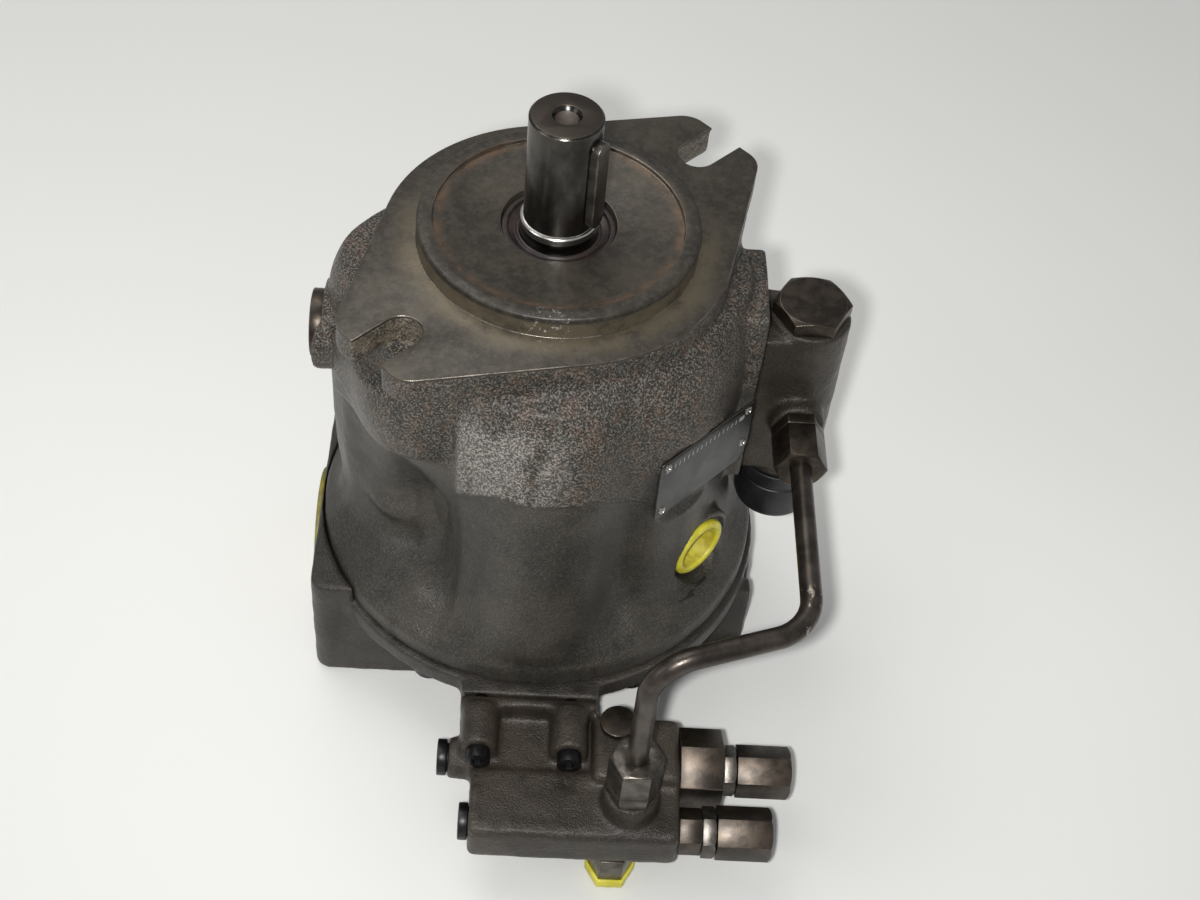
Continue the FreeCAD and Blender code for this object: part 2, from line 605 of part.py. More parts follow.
def bearing(name, levels, cone_radii, roller, cup_radii):
    """Roller bearing: cup held in the casting, cone on the shaft, and a full set of rollers.

    The levels are the top, the cup's low end and the cone's; a roller is its radius and pitch radius.
    """
    top, low, cone_low = levels
    roller_radius, pitch = roller
    node(ring(f"{name}_cup", *cup_radii, low, top), f"{name}_bearing_cup")
    node(ring(f"{name}_cone", *cone_radii, cone_low, top), f"{name}_bearing_cone")
    count = int(size("roller_count"))
    rollers = []
    for i in range(count):
        angle = 360 * i / count
        at = (f"({pitch}) * cos({angle})", f"({pitch}) * sin({angle})", f"({low}) + 1")
        rollers.append(cylinder(roller_radius, f"({top}) - ({low}) - 2", at))
    node(group(*rollers), f"{name}_bearing_rollers")


def around(count, radius, make):
    """The same thing made at even steps round the shaft axis."""
    for i in range(count):
        angle = 360 * i / count
        yield make(i, (f"({radius}) * cos({angle})", f"({radius}) * sin({angle})"))


def build_rotating_group():
    build_shaft()
    node(key_shape("key_bed", "key_height"), "shaft_key")
    bearing("front", ("cup_top", "cup_low", "cavity_top"), ("shaft_land", "22"), ("4.3", "26.5"),
            ("30.9", "cup_radius"))
    bearing("rear", ("rear_top", "rear_low", "rear_low"), ("journal_radius", "19"), ("3.2", "22.35"),
            ("25.6", "rear_cup"))

    count = int(size("piston_count"))
    drum = turned("drum", [
        ("shaft_radius + 1", "block_low"), ("block_radius", "block_low"), ("block_radius", "block_top"),
        ("27", "block_top"), ("27", "block_top - 21"), ("shaft_radius + 1", "block_top - 21"),
    ])
    bores = list(around(count, "pitch_radius", lambda i, at: cylinder(
        "piston_radius + fit", "block_top - piston_low + 7", (*at, "piston_low - 6"))))
    ports = list(around(count, "port_pitch", lambda i, at: cylinder(
        "4.5", "20", (*at, "block_low - 1"))))
    node(cut(drum, *bores, *ports), "cylinder_block")

    piston_profile = [
        ("0", "piston_low"), ("piston_radius", "piston_low"), ("piston_radius", "ball_z - 11"),
        ("piston_radius - 2", "ball_z - 9"), ("4.5", "ball_z - 9"), ("4.5", "ball_z"), ("0", "ball_z"),
    ]

    def piston(i, at):
        stem = turned(f"piston_{i + 1}_stem", piston_profile, (*at, "0"))
        ball = doc.addObject("Part::Sphere", "ball")
        drive(ball, Radius="ball_radius")
        place(ball, (*at, "ball_z"))
        return joined(stem, ball)

    node(group(*around(count, "pitch_radius", piston)), "pistons")

    def slipper(i, at):
        shoe = turned(f"slipper_{i + 1}_shoe", [
            ("0", "pivot_z - film - pad_thick - 12"), ("neck_radius", "pivot_z - film - pad_thick - 12"),
            ("neck_radius", "pivot_z - film - pad_thick"), ("pad_radius", "pivot_z - film - pad_thick"),
            ("pad_radius", "pivot_z - film"), ("0", "pivot_z - film"),
        ], (*at, "0"))
        socket = doc.addObject("Part::Sphere", "socket")
        drive(socket, Radius="ball_radius + fit")
        place(socket, (*at, "ball_z"))
        return cut(shoe, socket)

    node(group(*around(count, "pitch_radius", slipper)), "slippers")

    plate = ring("retainer", "23", "pitch_radius + 15", "pivot_z - film - pad_thick - 4",
                 "pivot_z - film - pad_thick - 0.1")
    holes = list(around(count, "pitch_radius", lambda i, at: cylinder(
        "neck_radius + 0.4", "10", (*at, "pivot_z - 12"))))
    node(cut(plate, *holes), "retaining_plate")
    node(turned("hub", [
        ("shaft_radius + fit", "block_top + 4"), ("26", "block_top + 4"), ("26", "pivot_z - 9"),
        ("22.5", "pivot_z - 8.4"), ("22.5", "pivot_z - 5"), ("shaft_radius + fit", "pivot_z - 5"),
    ]), "retaining_ball")
    node(feature("block_spring", coil(22, 1.8, size("block_top") - 20.9, size("block_top") + 3.9, 3.5,
                                      UPRIGHT, Vector())), "block_spring")

    disc = ring("disc", "24", "valve_plate_radius", "block_low - film - valve_plate_thick",
                "block_low - film")
    low = size("block_low") - 8
    slots = [feature("kidney_slot", kidney(angles, size("port_pitch"), size(half), low, low + 10))
             for angles, half in ((BEHIND_ANGLE, "suction_slot"), (AHEAD_ANGLE, "pressure_slot"))]
    node(cut(disc, *slots), "valve_plate")


# ---------------------------------------------------------------- swashplate and its control
def cavity_room():
    """The space that the swashplate has inside the case."""
    return cylinder("cavity_radius - 1", "100", ("0", "0", "pivot_z - 20"))


def build_swashplate():
    wheel = ring("swash_disc", "swash_hole", "swash_radius", "pivot_z", "pivot_z + swash_plate")
    parts = [wheel]
    for side in (1, -1):
        sector = doc.addObject("Part::Cylinder", "rocker")
        drive(sector, Radius="rocker_radius - fit", Height="rocker_out - rocker_in")
        start = "rocker_in" if side > 0 else "-rocker_out"
        place(sector, (start, "0", "pivot_z"), ALONG_X)
        half = box("rocker_out - rocker_in", "2 * rocker_radius", "rocker_radius",
                   (start, "-rocker_radius", "pivot_z"))
        upper = doc.addObject("Part::MultiCommon", "half_rocker")
        upper.Shapes = [sector, half, cavity_room()]
        parts.append(upper)
        parts.append(box("16", "22", "swash_plate - 4", ("-8", "54" if side > 0 else "-76", "pivot_z")))
    node(joined(*parts), "swashplate")

    shells = []
    for start in ("rocker_in + 1", "-rocker_out + 1"):
        shell = ring("cradle_shell", "rocker_radius", "rocker_radius + cradle_wall", "0",
                     "rocker_out - rocker_in - 2", (start, "0", "pivot_z"), ALONG_X)
        keep = box("rocker_out - rocker_in", "76", "30", (start, "-38", "pivot_z + 35"))
        upper = doc.addObject("Part::MultiCommon", "shell_arc")
        upper.Shapes = [shell, keep, cavity_room()]
        shells.append(upper)
    node(group(*shells), "cradle_bearings")


def build_stroking():
    """The control piston on the valve side, and the spring that works against it."""
    front, back = ("0", "-lobe_offset", "0"), ("0", "lobe_offset", "0")
    node(turned("guide", [
        ("0", "seam_z"), ("11", "seam_z"), ("11", "seam_z + 6"), ("8", "seam_z + 6"), ("8", "-112"),
        ("0", "-112"),
    ], front), "control_piston_guide")
    node(turned("control", [
        ("8 + fit", "-166"), ("12", "-166"), ("12", "-84"), ("7", "pivot_z - gap"), ("0", "pivot_z - gap"),
        ("0", "-92"), ("8 + fit", "-92"),
    ], front), "control_piston")
    node(turned("return", [
        ("0", "-150"), ("6", "-150"), ("6", "-88"), ("12.5", "-88"), ("12.5", "-84"),
        ("7", "pivot_z - gap"), ("0", "pivot_z - gap"),
    ], back), "return_spring_guide")
    node(feature("return_spring", coil(9.5, 1.8, size("seam_z") + 0.1, -88.2, 9, UPRIGHT,
                                       Vector(0, size("lobe_offset"), 0))), "return_spring")


# ---------------------------------------------------------------- castings, seals and fasteners
def socket_screw(radius, head, head_height, shank, at, turn):
    """A cap screw: its head points along the local Z axis from the seat, with a hexagon socket."""
    body = cylinder(head, head_height)
    stem = cylinder(radius, shank, ("0", "0", f"-({shank})"))
    socket = hexagon(f"1.6 * ({radius})", head_height, ("0", "0", f"({head_height}) / 2"))
    screw = cut(joined(body, stem), socket)
    place(screw, at, turn)
    return screw


def build_castings():
    node(feature("pump_housing", make_housing()), "pump_housing")
    node(feature("port_plate", make_port_plate()), "port_plate")
    o_ring = doc.addObject("Part::Torus", "o_ring")
    drive(o_ring, Radius1="ring_radius", Radius2="ring_wire - 0.5")
    place(o_ring, ("0", "0", "seam_z - 1.1"))
    node(o_ring, "housing_o_ring")
    node(ring("seal", "shaft_land + fit", "seal_bore", "-1", "7"), "shaft_seal")
    screws = []
    for angle in PLATE_SCREW_ANGLES:
        at = (f"screw_circle * cos({angle})", f"screw_circle * sin({angle})", "seam_z - rim_thick")
        screws.append(socket_screw("screw_radius", "8", "10", "rim_thick + 11.4", at, DOWN))
    node(group(*screws), "port_plate_screws")


def build_housing_fittings():
    """The nameplate, its rivets, the drain plugs and the transport cover of the suction port."""
    facing = Rotation(X_AXIS, 90)
    facing = Rotation(Z_AXIS, 45).multiply(facing)
    plate = padded("name", [
        ("plate_left", "plate_low"), ("plate_right - 4", "plate_low"), ("plate_right", "plate_low + 9"),
        ("plate_right", "plate_top"), ("plate_left", "plate_top"),
    ], "plate_thick")
    holes, rivets = [], []
    for along, height in (("plate_left + 4", "plate_low + 4"), ("plate_left + 4", "plate_top - 4"),
                          ("plate_right - 4", "plate_top - 4"), ("plate_right - 4", "plate_low + 12")):
        holes.append(cylinder("rivet_radius - 0.7", "3", (along, height, "-1")))
        head = cylinder("rivet_radius", "0.9", (along, height, "plate_thick"))
        stem = cylinder("rivet_radius - 0.7", "plate_thick", (along, height, "0"))
        rivets.append(joined(head, stem))
    seat = ("plate_plane * cos(45)", "-plate_plane * cos(45)", "0")
    name_plate = cut(plate, *holes)
    place(name_plate, seat, facing)
    node(name_plate, "nameplate")
    heads = group(*rivets)
    place(heads, seat, facing)
    node(heads, "nameplate_rivets")

    drain = turned("drain", [
        ("0", "-16"), ("drain_radius", "-16"), ("drain_radius", "-2"), ("spot_radius - 4", "-2"),
        ("spot_radius - 4", "0.6"), ("drain_radius - 1", "0.6"), ("drain_radius - 2", "-12"), ("0", "-12"),
    ])
    drain_at = ("(drain_along + plate_plane) * cos(45)", "(drain_along - plate_plane) * cos(45)", "drain_z")
    place(drain, drain_at, facing)
    node(drain, "drain_port_plug")

    side = joined(cylinder("side_plug_radius", "6"), cylinder("13", "14", ("0", "0", "-14")))
    side = cut(side, hexagon("10", "6", ("0", "0", "1")))
    place(side, ("-side_face", "side_plug_y", "side_plug_z"), ALONG_MINUS_X)
    node(side, "side_drain_plug")

    cover = joined(cylinder("33", "2.5"), cylinder("suction_radius - 0.2", "10", ("0", "0", "-10")))
    cover = cut(cover, cylinder("suction_radius - 3", "10", ("0", "0", "-12")))
    place(cover, ("-port_face", "0", "port_z"), ALONG_MINUS_X)
    node(cover, "suction_port_cover")


# ---------------------------------------------------------------- power controller
def build_controller():
    half = "control_half"
    body = joined(
        cylinder("control_radius", "control_top - control_low", ("control_x", "0", "control_low")),
        box("control_x - control_pad", f"2 * {half}", "control_top + 124",
            ("control_pad", f"-{half}", "-127")),
        cylinder("13", "26", ("control_x", "0", "line_z"), ALONG_MINUS_Y),
    )
    tools = [
        cylinder("8", "80", ("control_x", "0", "-127")),
        cylinder("11", "50", ("control_x", "0", "-72")),
        cylinder("4.5", "20", ("control_x", "0", "-138")),
        cylinder("17.5", "20", ("control_x", "0", "control_top")),
        cylinder("7", "20", ("control_x", "-14", "line_z"), ALONG_MINUS_Y),
        cylinder("4", "30", ("control_pad - 1", "0", "-100"), ALONG_X),
    ]
    for sign in ("", "-"):
        at = ("control_pad - 1", f"{sign}control_screw_half", "control_screw_z")
        tools.append(cylinder("3.2", "20", at, ALONG_X))
    node(cut(body, *tools), "controller_housing")
    plug = joined(hex_nut("plug_across", "7.5"), cylinder("11", "11.5", ("0", "0", "-11.5")))
    place(plug, ("control_x", "0", "control_top"))
    node(plug, "controller_hex_plug")
    node(turned("regulator", [
        ("0", "-120"), ("8 - fit", "-120"), ("8 - fit", "-108"), ("5", "-108"), ("5", "-84"),
        ("8 - fit", "-84"), ("8 - fit", "-74"), ("0", "-74"),
    ], ("control_x", "0", "0")), "controller_spool")
    spring = coil(5.6, 1.2, -73.8, -48.2, 4.5, UPRIGHT, Vector(size("control_x"), 0, 0))
    node(feature("controller_spring", spring), "controller_spring")
    stop = joined(cylinder("4.5 - fit", "16", ("0", "0", "-6")), hexagon("10", "5", ("0", "0", "-11")))
    place(stop, ("control_x", "0", "control_low + 0.5"))
    node(stop, "controller_stop_screw")
    node(turned("end_cap", [
        ("0", "end_cap_low"), ("end_cap_radius - 2", "end_cap_low"), ("end_cap_radius", "end_cap_low + 2"),
        ("end_cap_radius", "control_low"), ("end_cap_radius - 3", "control_low"),
        ("end_cap_radius - 3", "end_cap_low + 3"), ("0", "end_cap_low + 3"),
    ], ("control_x", "0", "0")), "controller_end_cap")


# ---------------------------------------------------------------- control line
def screwed_fitting(across, hex_height, stub_radius, stub, thread_radius, thread, bore):
    """A screwed pipe fitting about local Z: thread below zero, hexagon, then a stub for the nut."""
    solid = joined(hexagon(across, hex_height), cylinder(stub_radius, f"({hex_height}) + ({stub})"),
                   cylinder(thread_radius, thread, ("0", "0", f"-({thread})")))
    return cut(solid, cylinder(bore, "80", ("0", "0", "-40")),
               cylinder("tube_radius + fit", "12", ("0", "0", f"({hex_height}) + ({stub}) - 8")))


def tube_nut(stub_radius, stub):
    """A union nut that covers a fitting's stub and closes on the tube."""
    shell = hex_nut("nut_across", "20")
    return cut(shell, cylinder(f"{stub_radius} + fit", f"({stub}) + 1", ("0", "0", "-0.5")),
               cylinder("tube_radius + fit", "30", ("0", "0", "0")))


def build_control_line():
    ends = (
        ("controller", "6", ("control_x", "-26", "line_z"), ("control_x", "-32.2", "line_z"),
         ALONG_MINUS_Y),
        ("valve", "8", ("tube_x", "-tube_y", "-187"), ("tube_x", "-tube_y", "-179"), UPRIGHT),
    )
    for name, hex_height, at, nut_at, turn in ends:
        fitting = screwed_fitting("nut_across", hex_height, "8", "14", "7", "10", "3")
        place(fitting, at, turn)
        node(fitting, f"{name}_line_fitting")
        nut = tube_nut("8", "14")
        place(nut, nut_at, turn)
        node(nut, f"{name}_line_nut")
    path = tube_path()
    tube = pipe(path, size("tube_radius")).cut(pipe(path, size("tube_radius") - size("tube_wall")))
    node(feature("control_tube", tube), "control_tube")


# ---------------------------------------------------------------- control valve
def adjuster(name, y, z, across, length):
    """Hollow hexagonal screw that closes a spool bore, with its adjusting screw and cap nut.

    It gives back the locknut and the spring seat, which are grouped with those of the other bore.
    """
    start = "valve_right"
    shell = joined(hexagon(across, length), cylinder("spring_bore", "8", ("0", "0", "-8")))
    shell = cut(shell, cylinder("7", f"({length}) - 5 + 9", ("0", "0", "-9")),
                cylinder("set_screw + fit", "40", ("0", "0", "0")))
    place(shell, (start, y, z), ALONG_X)
    node(shell, f"{name}_adjuster_housing")
    seat = f"{start} + {length}"
    lock = cut(hex_nut("nut_across - 1", "6.6"), cylinder("set_screw + fit", "10", ("0", "0", "-1")))
    place(lock, (f"{seat} + gap", y, z), ALONG_X)
    cap = cut(hex_nut("nut_across", "26"), cylinder("set_screw + fit", "8", ("0", "0", "-1")),
              cylinder("set_screw + 1.5", "14", ("0", "0", "7")))
    place(cap, (f"{seat} + 7.2", y, z), ALONG_X)
    node(cap, f"{name}_cap_nut")
    screw = cut(cylinder("set_screw", f"{length} + 15.2"), hexagon("4", "5", ("0", "0", f"{length} + 11")))
    place(screw, (f"{start} + 2.8", y, z), ALONG_X)
    node(screw, f"{name}_set_screw")
    return lock, turned(f"{name}_seat", [
        ("0", "0"), ("2.5", "0"), ("2.5", "3"), ("6.5", "3"), ("6.5", "5.5"), ("0", "5.5"),
    ], (f"{start} - 3", y, z), ALONG_X)


def spool(name, y, z):
    """Valve spool with three lands, and the spring that pushes it away from the adjuster."""
    land = "spool_radius - fit"
    points = [("0", "-12"), (land, "-12"), (land, "0"), ("4", "0"), ("4", "12"), (land, "12"), (land, "22"),
              ("4", "22"), ("4", "34"), (land, "34"), (land, "46"), ("3", "46"), ("3", "50"), ("0", "50")]
    node(turned(f"{name}_lands", points, ("0", y, z), ALONG_X), f"{name}_spool")
    spring = coil(4.4, 0.9, 46.2, size("valve_right") - 0.1, 6, ALONG_X, Vector(0, value(y), value(z)))
    node(feature(f"{name}_spring", spring), f"{name}_spring")


def build_valve():
    node(feature("valve_body", make_valve_body()), "valve_body")
    rows = (
        ("upper", "-upper_y", "upper_z", "big_across", "21"),
        ("lower", "-lower_y", "lower_z", "small_across", "10.5"),
    )
    locknuts, seats = [], []
    for name, y, z, across, length in rows:
        lock, seat = adjuster(name, y, z, across, length)
        locknuts.append(lock)
        seats.append(seat)
        spool(name, y, z)
    node(group(*locknuts), "adjuster_locknuts")
    node(group(*seats), "spring_seats")
    plugs = []
    for y, z, face in (("-upper_y", "upper_z", "valve_left - 12"), ("-lower_y", "lower_z", "valve_left")):
        plug = joined(cylinder("8.7", "4.5"), cylinder("spool_radius", "7", ("0", "0", "-7")))
        plug = cut(plug, hexagon("6", "5", ("0", "0", "1.5")))
        place(plug, (face, y, z), ALONG_MINUS_X)
        plugs.append(plug)
    node(group(*plugs), "valve_end_plugs")
    top = joined(cylinder("8.7", "3"), cylinder("6", "8", ("0", "0", "-8")))
    place(top, ("top_plug_x", "-top_plug_y", "upper_z + upper_half"))
    node(top, "valve_top_plug")
    screws = []
    for x in ("screw_left", "screw_right"):
        long_at, short_at = (x, "-screw_seat_y", "upper_screw_z"), (x, "-pad_y - 6", "lower_screw_z")
        screws.append(socket_screw("3", "screw_head", "6", "39", long_at, ALONG_MINUS_Y))
        screws.append(socket_screw("3", "5", "6", "16", short_at, ALONG_MINUS_Y))
    node(group(*screws), "valve_screws")
    sense = joined(hexagon("small_across", "17"), cylinder("6", "5", ("0", "0", "-5")))
    sense = cut(sense, cylinder("3", "40", ("0", "0", "-8")), cylinder("6.5", "9", ("0", "0", "9")))
    place(sense, ("sense_x", "-sense_y", "lower_z - lower_half"), DOWN)
    node(sense, "load_sense_fitting")
    cap = joined(hexagon("small_across + 2", "6"), cylinder("6.3", "5", ("0", "0", "-5")))
    place(cap, ("sense_x", "-sense_y", "lower_z - lower_half - 17"), DOWN)
    node(cap, "load_sense_cap")


build_castings()
build_rotating_group()
build_swashplate()
build_stroking()
build_housing_fittings()
build_controller()
build_control_line()
build_valve()
doc.recompute()

# ---------------------------------------------------------------- checks and files
broken = [o.Label for o in doc.Objects if {"Invalid", "Error"} & set(o.State)]
if broken:
    raise RuntimeError(f"features that failed: {broken}")
for thing in NODES:
    if thing.Shape.isNull() or not thing.Shape.isValid() or not thing.Shape.Solids:
        raise RuntimeError(f"{thing.Label} has no valid solid")

os.makedirs("parts", exist_ok=True)
for thing in NODES:
    thing.Shape.exportStep(f"parts/{thing.Label}.step")
print(len(NODES), "sub-parts written")
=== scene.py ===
import json
import math

import bmesh
import bpy
import numpy as np
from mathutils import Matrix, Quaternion, Vector, noise


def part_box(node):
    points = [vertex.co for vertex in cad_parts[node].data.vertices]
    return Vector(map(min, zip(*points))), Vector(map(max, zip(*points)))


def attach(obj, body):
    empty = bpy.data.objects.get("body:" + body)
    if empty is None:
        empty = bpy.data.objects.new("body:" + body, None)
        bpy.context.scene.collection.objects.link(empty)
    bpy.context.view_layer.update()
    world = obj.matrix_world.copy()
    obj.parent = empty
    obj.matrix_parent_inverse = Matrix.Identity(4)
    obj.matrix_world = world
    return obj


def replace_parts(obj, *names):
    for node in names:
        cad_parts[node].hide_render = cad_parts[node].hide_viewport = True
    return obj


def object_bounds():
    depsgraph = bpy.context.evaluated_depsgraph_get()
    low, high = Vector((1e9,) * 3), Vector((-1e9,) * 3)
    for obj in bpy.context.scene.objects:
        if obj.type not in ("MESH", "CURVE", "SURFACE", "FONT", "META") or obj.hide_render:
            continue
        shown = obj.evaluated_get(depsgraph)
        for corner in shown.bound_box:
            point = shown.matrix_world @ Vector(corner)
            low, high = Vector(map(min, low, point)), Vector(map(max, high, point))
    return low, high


# An axial piston pump standing on its port plate. The four castings are rebuilt as cast metal with
# rounded corners and a grainy skin, the steel parts get worn edges, and the plate, plugs and caps
# are modelled again in more detail. Metres, in the frame's own axes.

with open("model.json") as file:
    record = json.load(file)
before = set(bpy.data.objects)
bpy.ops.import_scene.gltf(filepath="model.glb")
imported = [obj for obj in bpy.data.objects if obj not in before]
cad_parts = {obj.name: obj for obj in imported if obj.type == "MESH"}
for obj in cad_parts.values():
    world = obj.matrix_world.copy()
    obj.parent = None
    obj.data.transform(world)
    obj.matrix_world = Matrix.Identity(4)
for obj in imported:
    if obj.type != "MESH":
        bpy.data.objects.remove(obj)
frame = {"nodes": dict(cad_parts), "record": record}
cad_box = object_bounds()
nodes = frame["nodes"]
body_of_node = {
    name: body for body, names in frame["record"]["behaviour"]["bodies"].items() for name in names
}
slot_of_node = {part["node"]: part["material_slot"] for part in frame["record"]["subparts"]}
MM = 0.001
UP = Vector((0, 0, 1))
OUT = Vector((1, -1, 0)).normalized()     # the way that the nameplate and the drain port face
ALONG = Vector((1, 1, 0)).normalized()    # level, from the nameplate's left end to its right


# ---------------------------------------------------------------- materials
class Recipe:
    """A node material while it is put together. Textures lie in the object's own space, in metres."""

    def __init__(self, name, **constants):
        self.material = bpy.data.materials.new(name)
        self.material.use_nodes = True
        self.tree = self.material.node_tree
        self.shader = self.tree.nodes["Principled BSDF"]
        self.place = self.tree.nodes.new("ShaderNodeTexCoord").outputs["Object"]
        for socket, number in constants.items():
            self.shader.inputs[socket.replace("_", " ")].default_value = number

    def wire(self, kind, inputs, out=0, **settings):
        made = self.tree.nodes.new(f"ShaderNode{kind}")
        for name, setting in settings.items():
            setattr(made, name, setting)
        for key, source in inputs.items():
            if isinstance(source, bpy.types.NodeSocket):
                self.tree.links.new(source, made.inputs[key])
            else:
                made.inputs[key].default_value = source
        return made.outputs[out]

    def noise(self, size, detail=4.0, rough=0.6, stretch=(1, 1, 1), shift=0.0):
        where = self.wire("Mapping", {"Vector": self.place, "Scale": stretch, "Location": (shift,) * 3})
        return self.wire("TexNoise", {"Vector": where, "Scale": 1 / size, "Detail": detail,
                                      "Roughness": rough})

    def axis(self, name):
        return self.wire("SeparateXYZ", {"Vector": self.place}, out="XYZ".index(name))

    def radius(self):
        flat = self.wire("VectorMath", {0: self.place, 1: (1, 1, 0)}, operation="MULTIPLY")
        return self.wire("VectorMath", {0: flat}, out="Value", operation="LENGTH")

    def step(self, source, low, high):
        """0 below low, 1 above high, smooth between them."""
        return self.wire("MapRange", {"Value": source, "From Min": low, "From Max": high},
                         interpolation_type="SMOOTHSTEP")

    def distance(self, point):
        """How far the surface is from a point."""
        return self.wire("VectorMath", {0: self.place, 1: point}, out="Value", operation="DISTANCE")

    def off_line(self, direction):
        """How far the surface is from the plane through the origin across a direction."""
        across = self.wire("VectorMath", {0: self.place, 1: direction}, out="Value", operation="DOT_PRODUCT")
        return self.wire("Math", {0: across}, operation="ABSOLUTE")

    def fall(self, source, low, high):
        """1 below low, 0 above high."""
        return self.wire("MapRange", {"Value": source, "From Min": low, "From Max": high, "To Min": 1.0,
                                      "To Max": 0.0}, interpolation_type="SMOOTHSTEP")

    def span(self, source, low, high):
        """From low to high as the source goes from 0 to 1."""
        return self.wire("MapRange", {"Value": source, "To Min": low, "To Max": high})

    def times(self, first, *others):
        for other in others:
            first = self.wire("Math", {0: first, 1: other}, operation="MULTIPLY")
        return first

    def either(self, a, b):
        """The sum of two shares, 1 at most."""
        return self.wire("Math", {0: a, 1: b}, operation="ADD", use_clamp=True)

    def greater(self, a, b):
        return self.wire("Math", {0: a, 1: b}, operation="MAXIMUM")

    def total(self, a, b):
        return self.wire("Math", {0: a, 1: b}, operation="ADD")

    def blend(self, amount, a, b):
        """Colour a where the amount is 0 and b where it is 1."""
        return self.wire("Mix", {0: amount, 6: a, 7: b}, out=2, data_type="RGBA")

    def mix(self, amount, a, b):
        return self.wire("Mix", {0: amount, 2: a, 3: b}, out=0, data_type="FLOAT")

    def worn(self, low=0.53, high=0.60):
        """1 on the mesh's outer corners."""
        sharp = self.wire("NewGeometry", {}, out="Pointiness")
        return self.step(sharp, low, high)

    def bump(self, *layers):
        """Layers of (height, depth in metres), added one over the other."""
        normal = None
        for height, depth in layers:
            inputs = {"Height": height, "Distance": depth, "Strength": 1.0}
            if normal is not None:
                inputs["Normal"] = normal
            normal = self.wire("Bump", inputs)
        self.tree.links.new(normal, self.shader.inputs["Normal"])

    def finish(self, **sockets):
        for socket, source in sockets.items():
            self.tree.links.new(source, self.shader.inputs[socket.replace("_", " ")])
        return self.material


def rgb(r, g, b):
    return (r, g, b, 1.0)


def shade(colour, share):
    return rgb(*[share * c for c in colour])


def above_parting(m, colour, grain, parting):
    """The rusty, grainy half of the case, with a bare patch whose pale colour is partly painted highlight:
    its colour, and 1 where the surface belongs to it.
    """
    band = 2.5 * MM
    level = m.total(m.axis("Z"), m.times(m.noise(0.009, 3), band))
    behind = m.wire("Math", {0: m.axis("Y"), 1: PARTING_TILT, 2: -BULGE_CREST * PARTING_TILT},
                    operation="MULTIPLY_ADD")
    front = m.fall(m.axis("Y"), -60 * MM, -50 * MM)
    on_bulge = m.times(m.step(m.axis("X"), -41 * MM, -38 * MM), m.fall(m.axis("X"), 38 * MM, 48 * MM), front)
    upper = m.greater(m.step(level, parting, parting + band),
                      m.times(on_bulge, m.step(m.total(level, behind), parting, parting + band)))
    rust = m.times(m.step(m.noise(0.008, 8, 0.72, shift=3.0), 0.46, 0.62), upper)
    colour = m.blend(m.times(rust, 0.65), colour, rgb(0.095, 0.058, 0.036))

    # a bare patch on the front bulge: its pale colour is partly bare metal and partly painted highlight
    # where the flash faces it
    bare_and_lit_area = m.times(m.step(m.axis("X"), -41 * MM, -37 * MM), m.fall(m.axis("X"), -12 * MM, 20 * MM), front,
                    upper, on_bulge, m.fall(m.axis("Z"), -38 * MM, -22 * MM))
    bare = m.times(bare_and_lit_area, m.step(m.noise(0.012, 6, 0.72, (1, 1, 0.25), shift=8.0), 0.38, 0.54))
    colour = m.blend(m.times(bare, 0.85), colour, rgb(0.150, 0.138, 0.126))

    # sand-coloured dust by the ears' slots, partly painted highlight: its pale colour also stands for light
    # falling there
    slot = m.times(m.fall(m.off_line(-OUT), 9.5 * MM, 12 * MM), m.step(m.radius(), 75 * MM, 78 * MM))
    sand = m.times(slot, m.step(m.noise(0.006, 5, 0.7, shift=6.0), 0.35, 0.6),
                   m.step(m.axis("Z"), -17 * MM, -14 * MM))
    colour = m.blend(sand, colour, rgb(0.15, 0.125, 0.085))

    # painted highlight: bright glint specks on the grain, strongest on the bare patch above the parting line
    painted_glints = m.times(m.step(grain, 0.51, 0.59), m.span(bare, 0.28, 1.0), m.span(upper, 0.2, 1.0))
    return m.blend(painted_glints, colour, rgb(0.42, 0.39, 0.35)), upper


def cast_iron(name, dark, light, parting=None):
    """Oily iron as it left the sand, with painted sparkle highlights on its grain. Above a parting line it
    is grainier, barer and rustier, and its bare patch is lightened further as painted highlight.
    """
    m = Recipe(name, Metallic=0.22, Specular_IOR_Level=0.42, Coat_Weight=0.05, Coat_Roughness=0.3)
    colour = m.blend(m.step(m.noise(0.04, 5), 0.36, 0.66), rgb(*dark), rgb(*light))
    grain = m.noise(0.00095, 2.5, 0.6)
    pores = m.noise(0.0026, 4, 0.7, shift=5.0)
    runs = m.step(m.noise(0.012, 4, 0.6, (1, 1, 0.16), shift=7.0), 0.54, 0.72)
    colour = m.blend(m.times(runs, 0.6), colour, shade(dark, 0.4))
    depth, contrast = 0.55, 0.3
    if parting is not None:
        colour, upper = above_parting(m, colour, grain, parting)
        depth, contrast = m.span(upper, 0.45, 1.0), m.span(upper, 0.2, 1.0)
    # painted highlight: the grain's peaks are lightened as sparkle, most above the parting line
    painted_sparkle = m.times(m.step(grain, 0.52, 0.64), contrast)
    colour = m.blend(m.times(painted_sparkle, 0.42), colour, rgb(0.135, 0.122, 0.100))
    holes = m.times(m.fall(grain, 0.36, 0.47), contrast)
    colour = m.blend(m.times(holes, 0.6), colour, shade(dark, 0.25))
    colour = m.blend(m.times(m.worn(), 0.4), colour, rgb(0.20, 0.17, 0.135))
    m.bump((m.times(pores, depth), 0.5 * MM), (m.times(grain, depth), 1.0 * MM))
    return m.finish(Base_Color=colour, Roughness=m.span(m.noise(0.006, 4, shift=1.0), 0.28, 0.48))


